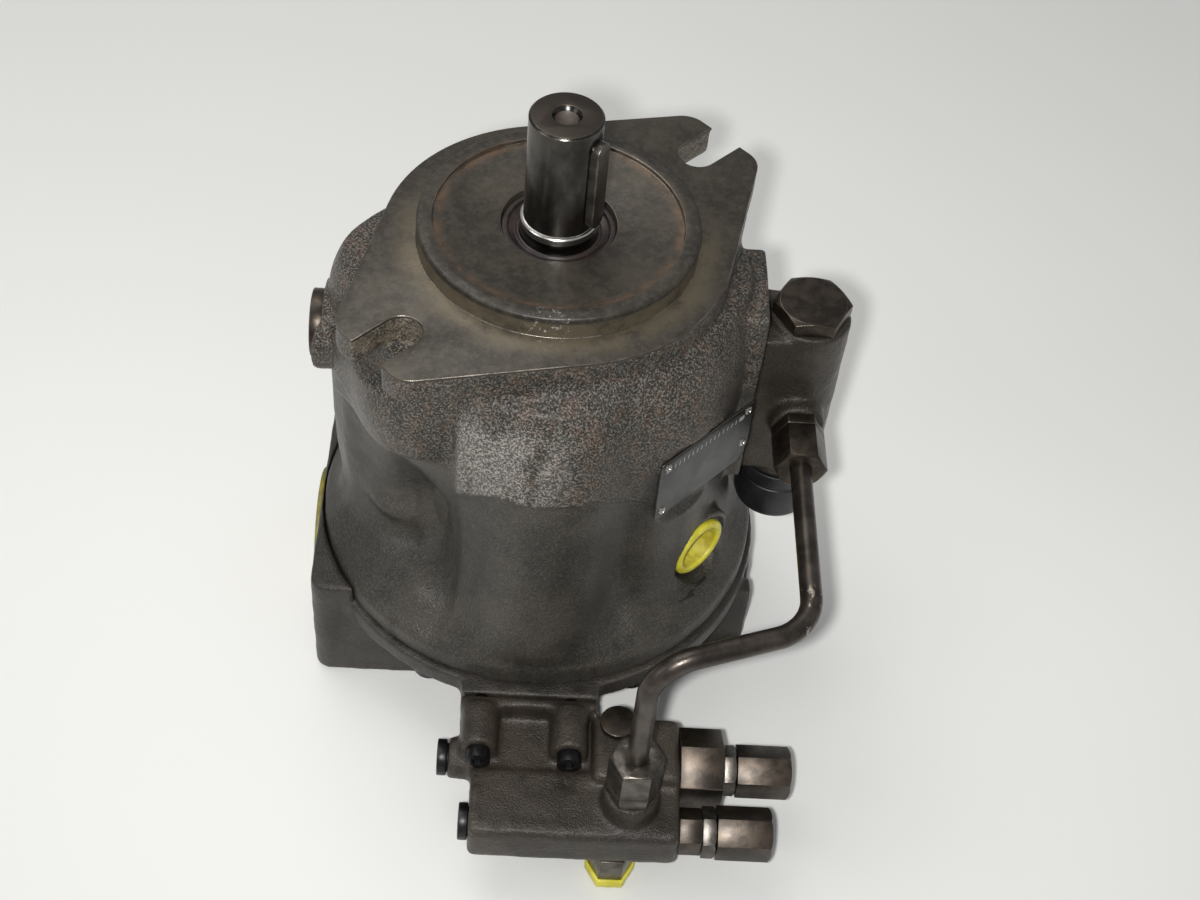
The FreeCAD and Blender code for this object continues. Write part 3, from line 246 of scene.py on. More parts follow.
def machined_iron(name, pilot):
    """Turned iron faces, brown with old oil, dusty round the pilot's foot with a painted sheen on its front,
    rusty in the recess.
    """
    m = Recipe(name, Metallic=0.45, Coat_Weight=0.1, Coat_Roughness=0.32)
    radius = m.radius()
    height = m.axis("Z")
    stain = m.step(m.noise(0.03, 6, 0.6, shift=2.0), 0.4, 0.68)
    colour = m.blend(stain, rgb(0.030, 0.026, 0.020), rgb(0.056, 0.047, 0.034))
    foot = m.times(m.fall(radius, pilot + 1 * MM, pilot + 15 * MM), m.fall(height, 7 * MM, 9 * MM),
                   m.fall(m.axis("Y"), -20 * MM, 50 * MM))
    # dust at the front of the pilot's foot; its tan is also a painted sheen where the light falls
    dust_and_sheen = m.times(foot, m.step(m.noise(0.014, 6, 0.7, shift=4.0), 0.3, 0.56))
    colour = m.blend(m.times(dust_and_sheen, 0.75), colour, rgb(0.135, 0.108, 0.066))
    recess = m.times(m.step(radius, pilot - 13 * MM, pilot - 7.6 * MM),
                     m.fall(radius, pilot - 7 * MM, pilot - 6 * MM))
    rusty = m.times(recess, m.step(m.noise(0.012, 6, 0.75, shift=1.0), 0.34, 0.6))
    colour = m.blend(m.times(rusty, 0.6), colour, rgb(0.17, 0.095, 0.05))
    rim = m.times(m.step(radius, pilot - 6 * MM, pilot - 4 * MM), m.step(height, 7 * MM, 9 * MM))
    colour = m.blend(m.times(rim, 0.45), colour, rgb(0.022, 0.019, 0.017))
    mottled = m.step(m.noise(0.0045, 7, 0.75, shift=11.0), 0.42, 0.62)
    colour = m.blend(m.times(mottled, 0.4), colour, rgb(0.092, 0.078, 0.060))
    nicked = m.fall(m.distance((-3 * MM, -pilot, 8 * MM)), 4 * MM, 13 * MM)
    nicks = m.times(nicked, m.step(m.noise(0.0026, 6, 0.85, shift=2.0), 0.57, 0.61))
    colour = m.blend(nicks, colour, rgb(0.55, 0.52, 0.47))
    speck = m.step(m.noise(0.0022, 5, 0.8, shift=9.0), 0.6, 0.72)
    colour = m.blend(m.times(speck, 0.4), colour, rgb(0.015, 0.012, 0.010))
    marks = m.noise(0.0015, 3, 0.6)
    m.bump((marks, 0.05 * MM), (m.noise(0.008, 4, 0.6, shift=3.0), 0.25 * MM))
    return m.finish(Base_Color=colour, Roughness=m.span(m.noise(0.007, 5, shift=6.0), 0.36, 0.58))


def tube_steel(name, dark, light, bend, reach):
    """Bent tube: brown steel, scraped to bare metal round one of its bends."""
    m = Recipe(name, Metallic=0.85, Coat_Weight=0.15, Coat_Roughness=0.3)
    colour = m.blend(m.step(m.noise(0.012, 5, 0.65), 0.38, 0.64), rgb(*dark), rgb(*light))
    near = m.fall(m.distance(bend), reach * 0.6, reach)
    scraped = m.times(near, m.step(m.noise(0.0055, 4, 0.7, (1, 0.35, 0.35), shift=4.0), 0.57, 0.62))
    colour = m.blend(m.times(scraped, 0.85), colour, rgb(0.46, 0.40, 0.34))
    pits = m.noise(0.0013, 4, 0.7, shift=2.0)
    colour = m.blend(m.times(m.step(pits, 0.6, 0.75), 0.35), colour, shade(dark, 0.35))
    m.bump((pits, 0.05 * MM))
    return m.finish(Base_Color=colour, Roughness=m.span(m.noise(0.005, 5, shift=1.0), 0.24, 0.42))


def oiled_plate(name, dull, pale, top, corner):
    """Satin plate metal, dark with oil under its top edge and at one corner."""
    m = Recipe(name, Metallic=0.55, Coat_Weight=0.1, Coat_Roughness=0.3)
    colour = m.blend(m.step(m.noise(0.012, 5, 0.65), 0.38, 0.64), rgb(*dull), rgb(*pale))
    ragged = m.total(m.axis("Z"), m.times(m.noise(0.004, 4, 0.7), 3 * MM))
    oily = m.either(m.step(ragged, top - 1.6 * MM, top - 0.4 * MM),
                    m.fall(m.distance(corner), 7 * MM, 10 * MM))
    colour = m.blend(m.times(oily, 0.9), colour, rgb(0.012, 0.010, 0.008))
    rubbed = m.step(m.noise(0.003, 6, 0.8, shift=6.0), 0.58, 0.76)
    colour = m.blend(m.times(rubbed, 0.3), colour, rgb(0.26, 0.25, 0.235))
    m.bump((m.noise(0.0009, 2, 0.5, (9, 9, 1)), 0.02 * MM))
    return m.finish(Base_Color=colour, Roughness=m.span(m.noise(0.005, 5, shift=1.0), 0.36, 0.52))


def shaft_steel(name, collar_low, collar_high, end):
    """Ground steel: dark and shiny, bright where the seal ran, brown on its end face."""
    m = Recipe(name, Metallic=1.0, Coat_Weight=0.1, Coat_Roughness=0.15)
    height = m.axis("Z")
    cloud = m.step(m.noise(0.016, 5, 0.6, (1, 1, 0.5)), 0.36, 0.66)
    colour = m.blend(cloud, rgb(0.040, 0.037, 0.033), rgb(0.105, 0.097, 0.087))
    pits = m.step(m.noise(0.0024, 5, 0.8, shift=2.0), 0.62, 0.72)
    colour = m.blend(m.times(pits, 0.55), colour, rgb(0.03, 0.025, 0.02))
    collar = m.times(m.step(height, collar_low, collar_low + 0.4 * MM),
                     m.fall(height, collar_high, collar_high + 0.3 * MM))
    colour = m.blend(collar, colour, rgb(0.68, 0.66, 0.62))
    face = m.step(height, end - 0.25 * MM, end - 0.15 * MM)
    colour = m.blend(m.times(face, 0.8), colour, rgb(0.062, 0.050, 0.040))
    rough = m.mix(face, m.span(m.noise(0.004, 5, shift=1.0), 0.14, 0.30), 0.42)
    m.bump((m.noise(0.0009, 2, 0.5, (1, 1, 9)), 0.02 * MM))
    return m.finish(Base_Color=colour, Roughness=rough)


def steel(name, dark, light, bright, rough=(0.25, 0.5), patch=0.012, scratch=0.3, metallic=0.85):
    """Machined steel: two shades in patches, bright scratches and fine tool marks."""
    m = Recipe(name, Metallic=metallic, Coat_Weight=0.15, Coat_Roughness=0.3)
    colour = m.blend(m.step(m.noise(patch, 5, 0.65), 0.38, 0.64), rgb(*dark), rgb(*light))
    rubbed = m.step(m.noise(0.004, 6, 0.8, (1, 1, 0.35), shift=6.0), 0.6, 0.78)
    colour = m.blend(m.times(rubbed, scratch), colour, rgb(*bright))
    pits = m.noise(0.0013, 4, 0.7, shift=2.0)
    colour = m.blend(m.times(m.step(pits, 0.6, 0.75), 0.35), colour, shade(dark, 0.35))
    lines = m.noise(0.0009, 2, 0.5, (1, 1, 9))
    m.bump((lines, 0.03 * MM), (pits, 0.05 * MM))
    return m.finish(Base_Color=colour, Roughness=m.span(m.noise(0.005, 5, shift=1.0), *rough))


def plastic(name, deep, pale, dirt, rough=(0.3, 0.5)):
    """Moulded plastic with a faint grain, oily dirt in patches and a paler bloom."""
    m = Recipe(name, Specular_IOR_Level=0.5, Subsurface_Weight=0.05)
    colour = m.blend(m.step(m.noise(0.008, 4), 0.35, 0.65), rgb(*deep), rgb(*pale))
    soiled = m.step(m.noise(0.005, 6, 0.75, shift=3.0), 0.58, 0.74)
    colour = m.blend(m.times(soiled, 0.6), colour, rgb(*dirt))
    m.bump((m.noise(0.0012, 3), 0.04 * MM))
    return m.finish(Base_Color=colour, Roughness=m.span(m.noise(0.004, 4, shift=1.0), *rough))


PILOT_RADIUS = next(m["dims"]["r_mm"] for m in frame["record"]["mounts"] if m["name"] == "pilot") * MM
SHAFT_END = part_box("drive_shaft")[1].z
COLLAR_TOP = 14.2 * MM
COLLAR_TALL = 4 * MM
PARTING_LINE = -66 * MM     # on the front bulge's crest
PARTING_TILT = 1.08         # how much lower the line runs as the bulge's sides fall back
BULGE_CREST = -96 * MM

MATERIALS = {
    "cast_iron_case": cast_iron("cast_iron", (0.024, 0.021, 0.017), (0.048, 0.042, 0.034)),
    "dark_steel": steel("dark_steel", (0.055, 0.048, 0.042), (0.12, 0.105, 0.09), (0.42, 0.38, 0.33),
                        (0.2, 0.42)),
    "bright_steel": steel("bright_steel", (0.30, 0.28, 0.26), (0.52, 0.50, 0.47), (0.75, 0.72, 0.68),
                          (0.18, 0.36)),
    "bronzed_steel": steel("bronzed_steel", (0.028, 0.022, 0.017), (0.070, 0.054, 0.040),
                           (0.24, 0.20, 0.155), (0.28, 0.46), patch=0.01),
    "black_steel": steel("black_steel", (0.010, 0.010, 0.011), (0.028, 0.027, 0.027), (0.16, 0.15, 0.14)),
    "spring_steel": steel("spring_steel", (0.10, 0.095, 0.09), (0.2, 0.19, 0.18), (0.5, 0.48, 0.45)),
    "bronze_bush": steel("bronze_bush", (0.30, 0.19, 0.08), (0.45, 0.30, 0.13), (0.7, 0.55, 0.3)),
    "black_rubber": plastic("black_rubber", (0.006, 0.006, 0.007), (0.014, 0.014, 0.015),
                            (0.04, 0.034, 0.026), (0.28, 0.5)),
    "yellow_plastic": plastic("yellow_plastic", (0.52, 0.45, 0.02), (0.68, 0.61, 0.06),
                              (0.27, 0.22, 0.05)),
    "plate_metal": steel("plate_metal", (0.070, 0.071, 0.068), (0.105, 0.106, 0.100), (0.22, 0.21, 0.20),
                         (0.36, 0.5), scratch=0.25, metallic=0.55),
}

# looks of single pieces, and of the worn corners of others
CASE_IRON = cast_iron("case_iron", (0.027, 0.024, 0.019), (0.054, 0.048, 0.039), PARTING_LINE)
VALVE_IRON = cast_iron("valve_iron", (0.023, 0.018, 0.013), (0.047, 0.037, 0.027))
FACE_IRON = machined_iron("face_iron", PILOT_RADIUS)
SHAFT_STEEL = shaft_steel("shaft_steel", COLLAR_TOP - COLLAR_TALL, COLLAR_TOP, SHAFT_END)
GREY_BRONZED = steel("grey_bronzed", (0.050, 0.044, 0.037), (0.125, 0.112, 0.096), (0.34, 0.30, 0.26),
                     (0.24, 0.42), patch=0.008)
PALE_MARK = steel("pale_mark", (0.28, 0.28, 0.265), (0.42, 0.42, 0.40), (0.55, 0.55, 0.53), (0.4, 0.6),
                  metallic=0.2)
WORN_IRON = steel("worn_iron", (0.09, 0.078, 0.064), (0.22, 0.19, 0.16), (0.5, 0.45, 0.4), (0.25, 0.45),
                  scratch=0.6)
WORN_BRONZED = steel("worn_bronzed", (0.05, 0.038, 0.029), (0.15, 0.12, 0.095), (0.42, 0.36, 0.29),
                     (0.24, 0.42), scratch=0.45)
WORN_BLACK = steel("worn_black", (0.02, 0.02, 0.02), (0.06, 0.058, 0.055), (0.3, 0.29, 0.27), scratch=0.5)
WORN_BY_SLOT = {
    "bronzed_steel": WORN_BRONZED, "black_steel": WORN_BLACK, "yellow_plastic": MATERIALS["yellow_plastic"],
}
STAINED_RUBBER = plastic("stained_rubber", (0.012, 0.010, 0.010), (0.028, 0.018, 0.015),
                         (0.11, 0.045, 0.032), (0.2, 0.45))
CUP_YELLOW = plastic("cup_yellow", (0.36, 0.29, 0.025), (0.60, 0.52, 0.06), (0.16, 0.115, 0.03),
                     (0.35, 0.55))
COVER_YELLOW = plastic("cover_yellow", (0.13, 0.11, 0.018), (0.22, 0.19, 0.03), (0.06, 0.048, 0.02),
                       (0.4, 0.6))
GREASE = plastic("grease", (0.034, 0.024, 0.018), (0.065, 0.048, 0.036), (0.12, 0.09, 0.07), (0.4, 0.6))
# painted shade: the nearly black colour of the engraved arrow's grooves
ARROW_GROOVE_SHADE = plastic("arrow_groove_shade", (0.004, 0.004, 0.003), (0.009, 0.008, 0.007), (0.02, 0.017, 0.013),
                     (0.6, 0.8))


# ---------------------------------------------------------------- mesh work
def new_piece(name, mesh, body, slot, *materials):
    """A finished piece in the scene, riding on a CAD body."""
    piece = bpy.data.objects.new(name, mesh)
    bpy.context.scene.collection.objects.link(piece)
    for material in materials or (MATERIALS[slot],):
        mesh.materials.append(material)
    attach(piece, body)
    return piece


def welded(node):
    """A CAD node's mesh with its split corners joined again."""
    mesh = bmesh.new()
    mesh.from_mesh(nodes[node].data)
    bmesh.ops.remove_doubles(mesh, verts=mesh.verts, dist=0.001 * MM)
    return mesh


def merge_flat(mesh):
    """Join faces that lie in one plane."""
    bmesh.ops.dissolve_limit(mesh, angle_limit=math.radians(0.7), verts=mesh.verts, edges=mesh.edges)


def bevel_sharp(mesh, width, corner=25, segments=2, material=-1, chosen=None):
    """Round the mesh's sharp edges, or those of them that the chosen test takes."""
    sharp = [e for e in mesh.edges if len(e.link_faces) == 2
             and e.calc_face_angle(0) > math.radians(corner) and (chosen is None or chosen(e))]
    bmesh.ops.bevel(mesh, geom=sharp, offset=width, offset_type="OFFSET", segments=segments, profile=0.5,
                    affect="EDGES", clamp_overlap=True, material=material)


def smooth_mesh(name, mesh, crease=38):
    """A mesh datablock from the mesh, shaded smooth except across creases."""
    for face in mesh.faces:
        face.smooth = True
    data = bpy.data.meshes.new(name)
    mesh.to_mesh(data)
    mesh.free()
    data.set_sharp_from_angle(angle=math.radians(crease))
    return data


def softened(node, width, material=None):
    """A CAD node with its sharp edges rounded, the rounding worn bright. It stands for the node."""
    mesh = welded(node)
    merge_flat(mesh)
    bevel_sharp(mesh, width, material=1)
    slot = slot_of_node[node]
    piece = new_piece(f"{node}_finished", smooth_mesh(f"{node}_finished", mesh), body_of_node[node], slot,
                      material or MATERIALS[slot], WORN_BY_SLOT.get(slot, WORN_IRON))
    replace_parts(piece, node)
    return piece


def lathe(mesh, profile, sides, place, closed=False):
    """Rings joined one to the next, from (radius, height) in mm; place puts (x, y, height) in space."""
    rings = []
    for radius, height in profile:
        count = sides if radius > 0 else 1
        turns = [math.tau * i / count for i in range(count)]
        rings.append([mesh.verts.new(place(
            radius * MM * math.cos(turn), radius * MM * math.sin(turn), height * MM)) for turn in turns])
    for low, high in zip(rings, rings[1:] + (rings[:1] if closed else [])):
        if len(low) == len(high) == 1:
            continue
        for i in range(sides):
            corners = [low[i % len(low)], low[(i + 1) % len(low)],
                       high[(i + 1) % len(high)], high[i % len(high)]]
            mesh.faces.new(list(dict.fromkeys(corners)))
    return rings


def turned(name, profile, at, axis, slot, body, material=None, closed=False, round_by=0.0, sides=96):
    """A piece turned round an axis through a point, from (radius, height) steps in millimetres."""
    mesh = bmesh.new()
    turn = UP.rotation_difference(Vector(axis)).to_matrix()
    lathe(mesh, profile, sides, lambda x, y, height: Vector(at) + turn @ Vector((x, y, height)), closed)
    bmesh.ops.recalc_face_normals(mesh, faces=mesh.faces)
    if round_by:
        bevel_sharp(mesh, round_by * MM, segments=3)
    return new_piece(name, smooth_mesh(name, mesh), body, slot, material or MATERIALS[slot])


def prism(mesh, under, over):
    """A solid between two outlines of as many points each."""
    feet = [mesh.verts.new(point) for point in under]
    heads = [mesh.verts.new(point) for point in over]
    mesh.faces.new(feet[::-1])
    mesh.faces.new(heads)
    for i in range(len(feet)):
        j = (i + 1) % len(feet)
        mesh.faces.new([feet[i], feet[j], heads[j], heads[i]])


def cut_level(mesh, height, keep_above):
    """Cut the mesh along a level plane, drop one side and close the cut."""
    everything = mesh.verts[:] + mesh.edges[:] + mesh.faces[:]
    made = bmesh.ops.bisect_plane(mesh, geom=everything, plane_co=(0, 0, height), plane_no=(0, 0, 1),
                                  clear_inner=keep_above, clear_outer=not keep_above)
    rim = [e for e in made["geom_cut"] if isinstance(e, bmesh.types.BMEdge) and e.is_boundary]
    bmesh.ops.triangle_fill(mesh, use_beauty=True, use_dissolve=False, edges=rim,
                            normal=(0, 0, -1 if keep_above else 1))


def remeshed(mesh, voxel):
    """One closed skin round everything in the mesh, in even squares."""
    data = bpy.data.meshes.new("rough")
    mesh.to_mesh(data)
    mesh.free()
    rough = bpy.data.objects.new("rough", data)
    bpy.context.scene.collection.objects.link(rough)
    skin = rough.modifiers.new("skin", "REMESH")
    skin.mode = "VOXEL"
    skin.voxel_size = voxel
    skin.use_smooth_shade = True
    bpy.context.view_layer.update()
    seen = rough.evaluated_get(bpy.context.evaluated_depsgraph_get())
    made = bpy.data.meshes.new_from_object(seen)
    bpy.data.objects.remove(rough)
    bpy.data.meshes.remove(data)
    return made


def points_of(mesh, what="co"):
    """The vertices' places, or their normals, one row each."""
    rows = np.empty(len(mesh.vertices) * 3)
    mesh.vertices.foreach_get(what, rows)
    return rows.reshape(-1, 3)


def put_points(mesh, points):
    mesh.vertices.foreach_set("co", points.ravel())
    mesh.update()


def relax(mesh, softness, rounds):
    """Move each point towards its neighbours' mean, as far as its softness from 0 to 1 allows."""
    points = points_of(mesh)
    edges = np.empty(len(mesh.edges) * 2, np.int64)
    mesh.edges.foreach_get("vertices", edges)
    first, second = edges.reshape(-1, 2).T
    degree = np.bincount(edges, minlength=len(points))
    for _ in range(rounds):
        for axis in range(3):
            total = np.bincount(first, points[second, axis], len(points))
            total += np.bincount(second, points[first, axis], len(points))
            points[:, axis] += softness * (total / degree - points[:, axis])
    put_points(mesh, points)


def roughen(mesh, softness, *layers):
    """Push the skin in and out by layers of (size, height) noise where it is as cast."""
    points = points_of(mesh)
    lift = np.zeros(len(points))
    for size, height in layers:
        lift += height * np.array([noise.noise(Vector(p) / size) for p in points])
    put_points(mesh, points + points_of(mesh, "normal") * (lift * softness)[:, None])


def smooth_step(numbers, low, high):
    """0 below low, 1 above high, smooth between them."""
    share = np.clip((numbers - low) / (high - low), 0, 1)
    return share * share * (3 - 2 * share)


def cast_skin(node, voxel, softness_of, rounds, layers, lift_of=None, blend_of=None):
    """A casting's mesh: fillets grow in its corners, its walls swell, and its skin becomes uneven.

    softness_of says from 0 to 1 where the skin is as cast, blend_of where a large fillet belongs.
    """
    made = remeshed(welded(node), voxel)
    if blend_of is not None:
        relax(made, blend_of(points_of(made)) * 0.7, 60)
    if lift_of is not None:
        swell(made, lift_of)
    softness = softness_of(points_of(made))
    relax(made, softness * 0.6, rounds)
    roughen(made, softness, *layers)
    return made


def swell(mesh, lift_of):
    """Move the outer walls away from the Z axis by what lift_of says for each point."""
    points = points_of(mesh)
    radius = np.hypot(points[:, 0], points[:, 1])
    out = np.column_stack([points[:, 0] / radius, points[:, 1] / radius, np.zeros(len(points))])
    facing = (points_of(mesh, "normal") * out).sum(axis=1)
    lift = lift_of(points) * smooth_step(facing, 0.1, 0.45) * smooth_step(radius, 68 * MM, 73 * MM)
    put_points(mesh, points + out * lift[:, None])


# ---------------------------------------------------------------- castings
FACE_DEPTH = -1.2 * MM      # how much of the flange comes from the crisp mesh


def turn_from(angle, centre):
    """Degrees from a direction to another, between -180 and 180."""
    return (angle - centre + 180) % 360 - 180


def mound(angle, height, centre, wide, level, tall):
    """1 at one place on the case, falling away over so many degrees and millimetres."""
    return np.exp(-(turn_from(angle, centre) / wide) ** 2 - ((height - level) / tall) ** 2)


def panel(angle, height, left, right, low, high, edge, lip):
    """1 over a stretch of the case's side, with borders as soft as edge in degrees and lip in mm."""
    half = (right - left) / 2
    away = np.abs(turn_from(angle, left + half))
    side = 1 - smooth_step(away, half - edge / 2, half + edge / 2)
    below = smooth_step(height, low - lip / 2, low + lip / 2)
    return side * below * (1 - smooth_step(height, high - lip / 2, high + lip / 2))


def case_lift(points):
    """How far the case's side stands out at each point, beyond the plain casting."""
    x, y, z = points.T
    angle, height = np.degrees(np.arctan2(y, x)), z / MM
    tilted = height - 0.45 * turn_from(angle, -118)
    bulge = smooth_step(turn_from(angle, -115), -2.5, 2.5) * smooth_step(height, -184, -166)
    bulge *= 1 - smooth_step(turn_from(angle, -70), -7, 7)
    lift = 4.0 * bulge                                                    # over the control piston
    lift += 3.4 * panel(angle, height, 73, 108, -180, -38, 7, 20)         # over the return spring
    lift -= 7.0 * mound(angle, height, -132, 10, -126, 36)
    lift -= 3.5 * panel(angle, height, 113, 150, -164, -76, 13, 22)
    lift -= 4.0 * panel(angle, height, 50, 69, -166, -80, 9, 20)
    lift += 6.5 * panel(angle, tilted, -172, -121, -60, -20, 8, 5)        # under the front ear
    lift -= 2.5 * mound(angle, tilted, -136, 12, -68, 5)
    lift += 3.5 * panel(angle, height, 18, 66, -60, -20, 14, 12)          # under the back ear
    lift += 5.5 * mound(angle, height, -148, 9, -142, 6)
    lift += 3.5 * mound(angle, height, -128, 6, -163, 7)
    lift += 1.5 * mound(angle, height, -60, 5, -168, 6)
    lift += 2.5 * mound(angle, height, -168, 4, -125, 45)
    above = height + (PARTING_TILT * (y - BULGE_CREST) - PARTING_LINE) / MM
    lift += 0.7 * bulge * smooth_step(above, -0.7, 0.7)                   # the mould's joint
    quiet = np.zeros(len(points))       # the nameplate's flat, the controller's pad and the side plug's boss
    for centre, wide in ((-40, 17), (0, 24), (182, 11)):
        quiet = np.maximum(quiet, np.exp(-(turn_from(angle, centre) / wide) ** 4))
    return lift * MM * (1 - quiet) * smooth_step(-height, 15, 22) * smooth_step(height, -182, -172)


def skirt_blend(points):
    """1 where the case flares out to its bell, which is one large fillet."""
    radius, height = np.hypot(points[:, 0], points[:, 1]), points[:, 2] / MM
    flare = smooth_step(height, -180, -174) * (1 - smooth_step(height, -152, -140))
    return flare * smooth_step(radius, 70 * MM, 76 * MM) * case_softness(points)


def flat_faces():
    """Middle, direction and reach of the case's machined spots."""
    spots = []
    for node, facing, reach in (("nameplate", OUT, 38), ("drain_port_plug", OUT, 21),
                                ("side_drain_plug", Vector((-1, 0, 0)), 22)):
        low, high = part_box(node)
        spots.append(((low + high) / 2, facing, reach * MM))
    return spots


def case_softness(points):
    """0 on machined spots and at the flange's face, 1 where the case is as cast."""
    soft = smooth_step(-points[:, 2], -FACE_DEPTH, 5 * MM)
    for middle, facing, reach in flat_faces():
        offset = points - np.array(middle)
        out = offset @ np.array(facing)
        aside = np.sqrt(np.maximum((offset ** 2).sum(axis=1) - out ** 2, 0))
        soft *= 1 - (aside < reach) * (np.abs(out) < 14 * MM) * 0.8
    return soft


def plain_softness(points):
    return np.ones(len(points))


def middle_of(node):
    """A node's middle as its distances along ALONG and UP."""
    return [sum(extent(node, axis)) / 2 for axis in (ALONG, UP)]


def sink_spotface(mesh):
    """A round recess in the case for the drain plug's rim, wider than the rim by a narrow gap."""
    points = points_of(mesh)
    side, up = middle_of("drain_port_plug")
    along, level, out = points @ np.array(ALONG), points @ np.array(UP), points @ np.array(OUT)
    aside = np.hypot(along - side, level - up)
    face = extent("drain_port_plug", OUT)[1]
    depth = 3.2 * MM
    sunk = (1 - smooth_step(aside, 17.2 * MM, 18.4 * MM)) * (out > face - 12 * MM)
    push = (np.minimum(out, face - depth) - out) * sunk
    put_points(mesh, points + np.array(OUT) * push[:, None])


def append_mesh(mesh, other):
    """Add one mesh's parts to another's, and drop the first."""
    data = bpy.data.meshes.new("part")
    other.to_mesh(data)
    other.free()
    mesh.from_mesh(data)
    bpy.data.meshes.remove(data)


def machined_face():
    """The crisp top of the flange with its pilot, cut from the CAD's mesh."""
    face = welded("pump_housing")
    cut_level(face, FACE_DEPTH - 0.2 * MM, keep_above=True)
    merge_flat(face)
    for polygon in face.faces:
        polygon.material_index = 1
    pilot_top = max(v.co.z for v in face.verts)
    bevel_sharp(face, 1.5 * MM, segments=4, chosen=lambda e: all(
        abs(v.co.z - pilot_top) < 0.01 * MM and v.co.xy.length > PILOT_RADIUS - 0.1 * MM for v in e.verts))
    bevel_sharp(face, 0.35 * MM, material=2,
                chosen=lambda e: all(v.co.z > FACE_DEPTH + 0.5 * MM for v in e.verts))
    return face


def build_case():
    """The case: cast below, and a crisp machined face and pilot above."""
    skin = cast_skin("pump_housing", 1.15 * MM, case_softness, 7,
                     ((14 * MM, 0.35 * MM), (3.0 * MM, 0.10 * MM)), case_lift, skirt_blend)
    sink_spotface(skin)
    mesh = bmesh.new()
    mesh.from_mesh(skin)
    bpy.data.meshes.remove(skin)
    cut_level(mesh, FACE_DEPTH, keep_above=False)
    append_mesh(mesh, machined_face())
    piece = new_piece("pump_casting", smooth_mesh("pump_casting", mesh), body_of_node["pump_housing"],
                      slot_of_node["pump_housing"], CASE_IRON, FACE_IRON, WORN_IRON)
    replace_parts(piece, "pump_housing")
    return piece


def build_casting(name, node, voxel, rounds, layers, material):
    made = cast_skin(node, voxel, plain_softness, rounds, layers)
    made.name = name
    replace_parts(new_piece(name, made, body_of_node[node], slot_of_node[node], material), node)


def build_castings():
    build_flow_arrow(build_case())
    build_casting("port_casting", "port_plate", 1.15 * MM, 6,
                  ((12 * MM, 0.4 * MM), (3.0 * MM, 0.12 * MM)), MATERIALS["cast_iron_case"])
    build_casting("valve_casting", "valve_body", 0.75 * MM, 30,
                  ((9 * MM, 0.35 * MM), (2.4 * MM, 0.10 * MM)), VALVE_IRON)
    build_casting("controller_casting", "controller_housing", 0.75 * MM, 16,
                  ((9 * MM, 0.3 * MM), (2.4 * MM, 0.10 * MM)), VALVE_IRON)


# ---------------------------------------------------------------- plate, plugs, caps and seal
def extent(node, axis):
    """The least and greatest distance of a node's points along an axis, in metres."""
    along = points_of(nodes[node].data) @ np.array(axis)
    return along.min(), along.max()


def plate_point(along, up, out):
    return ALONG * along + UP * up + OUT * out


def slab(mesh, outline, low, high):
    """A flat piece between two distances along OUT, its outline in (along, up) points."""
    prism(mesh, [plate_point(along, up, low) for along, up in outline],
          [plate_point(along, up, high) for along, up in outline])


def build_nameplate():
    """The blank plate: rounded corners, its lower right one cut off."""
    left, right = extent("nameplate", ALONG)
    low, high = extent("nameplate", UP)
    under, over = extent("nameplate", OUT)
    clip = 9 * MM
    mesh = bmesh.new()
    slab(mesh, [(left, low), (right - clip / 2, low), (right, low + clip), (right, high), (left, high)],
         under, over)
    upright = [e for e in mesh.edges if abs((e.verts[0].co - e.verts[1].co).normalized().dot(OUT)) > 0.9]
    bmesh.ops.bevel(mesh, geom=upright, offset=1.5 * MM, segments=5, profile=0.5, affect="EDGES")
    bevel_sharp(mesh, 0.2 * MM, material=1)
    bmesh.ops.recalc_face_normals(mesh, faces=mesh.faces)
    finish = oiled_plate("oiled_plate", (0.058, 0.059, 0.057), (0.088, 0.089, 0.085), high,
                         plate_point(right, high, over))
    plate = new_piece("nameplate_finished", smooth_mesh("nameplate_finished", mesh), "case", "plate_metal",
                      finish, WORN_IRON)
    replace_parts(plate, "nameplate")


def build_plate_marks():
    """A row of slanted tick marks between two pale blocks, near the plate's top edge."""
    left, right = extent("nameplate", ALONG)
    high = extent("nameplate", UP)[1]
    over = extent("nameplate", OUT)[1]
    line = high - 6.5 * MM
    first, last = left + 9 * MM, right - 12 * MM
    count, tall, thin, block_half = 15, 2.6 * MM, 0.25 * MM, 1.7 * MM
    bottom, top = line - tall / 2, line + tall / 2
    outlines = []
    for i in range(count):
        middle = first + (last - first) * i / (count - 1)
        outlines.append([(middle - thin, bottom), (middle + thin, bottom),
                         (middle + 2 * thin, top), (middle, top)])
    for middle in (first - 4 * MM, last + 4 * MM):
        outlines.append([(middle - block_half, bottom), (middle + block_half, bottom),
                         (middle + block_half, top), (middle - block_half, top)])
    marks = bmesh.new()
    for outline in outlines:
        slab(marks, outline, over - 0.01 * MM, over + 0.05 * MM)
    bmesh.ops.recalc_face_normals(marks, faces=marks.faces)
    new_piece("nameplate_marks", smooth_mesh("nameplate_marks", marks), "case", "plate_metal", PALE_MARK)


def build_rivets():
    """Four domed rivets with a dimple each, where the CAD's rivets are."""
    left, right = extent("nameplate_rivets", ALONG)
    low, high = extent("nameplate_rivets", UP)
    out = extent("nameplate", OUT)[1]
    inset = 2.2 * MM
    places = [(left + inset, low + inset), (left + inset, high - inset), (right - inset, high - inset),
              (right - inset, low + inset + 8 * MM)]
    profile = [(2.2, -0.05), (2.2, 0.25), (1.8, 0.7), (1.2, 0.9), (0.9, 0.85), (0.7, 0.4), (0, 0.3)]
    mesh = bmesh.new()
    for along, up in places:
        rings = lathe(mesh, profile, 28, lambda x, y, height: plate_point(along + x, up + y, out + height))
        mesh.faces.new(rings[0][::-1])
    bmesh.ops.recalc_face_normals(mesh, faces=mesh.faces)
    rivets = new_piece("rivets_finished", smooth_mesh("rivets_finished", mesh), "case", "bright_steel")
    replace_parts(rivets, "nameplate_rivets")


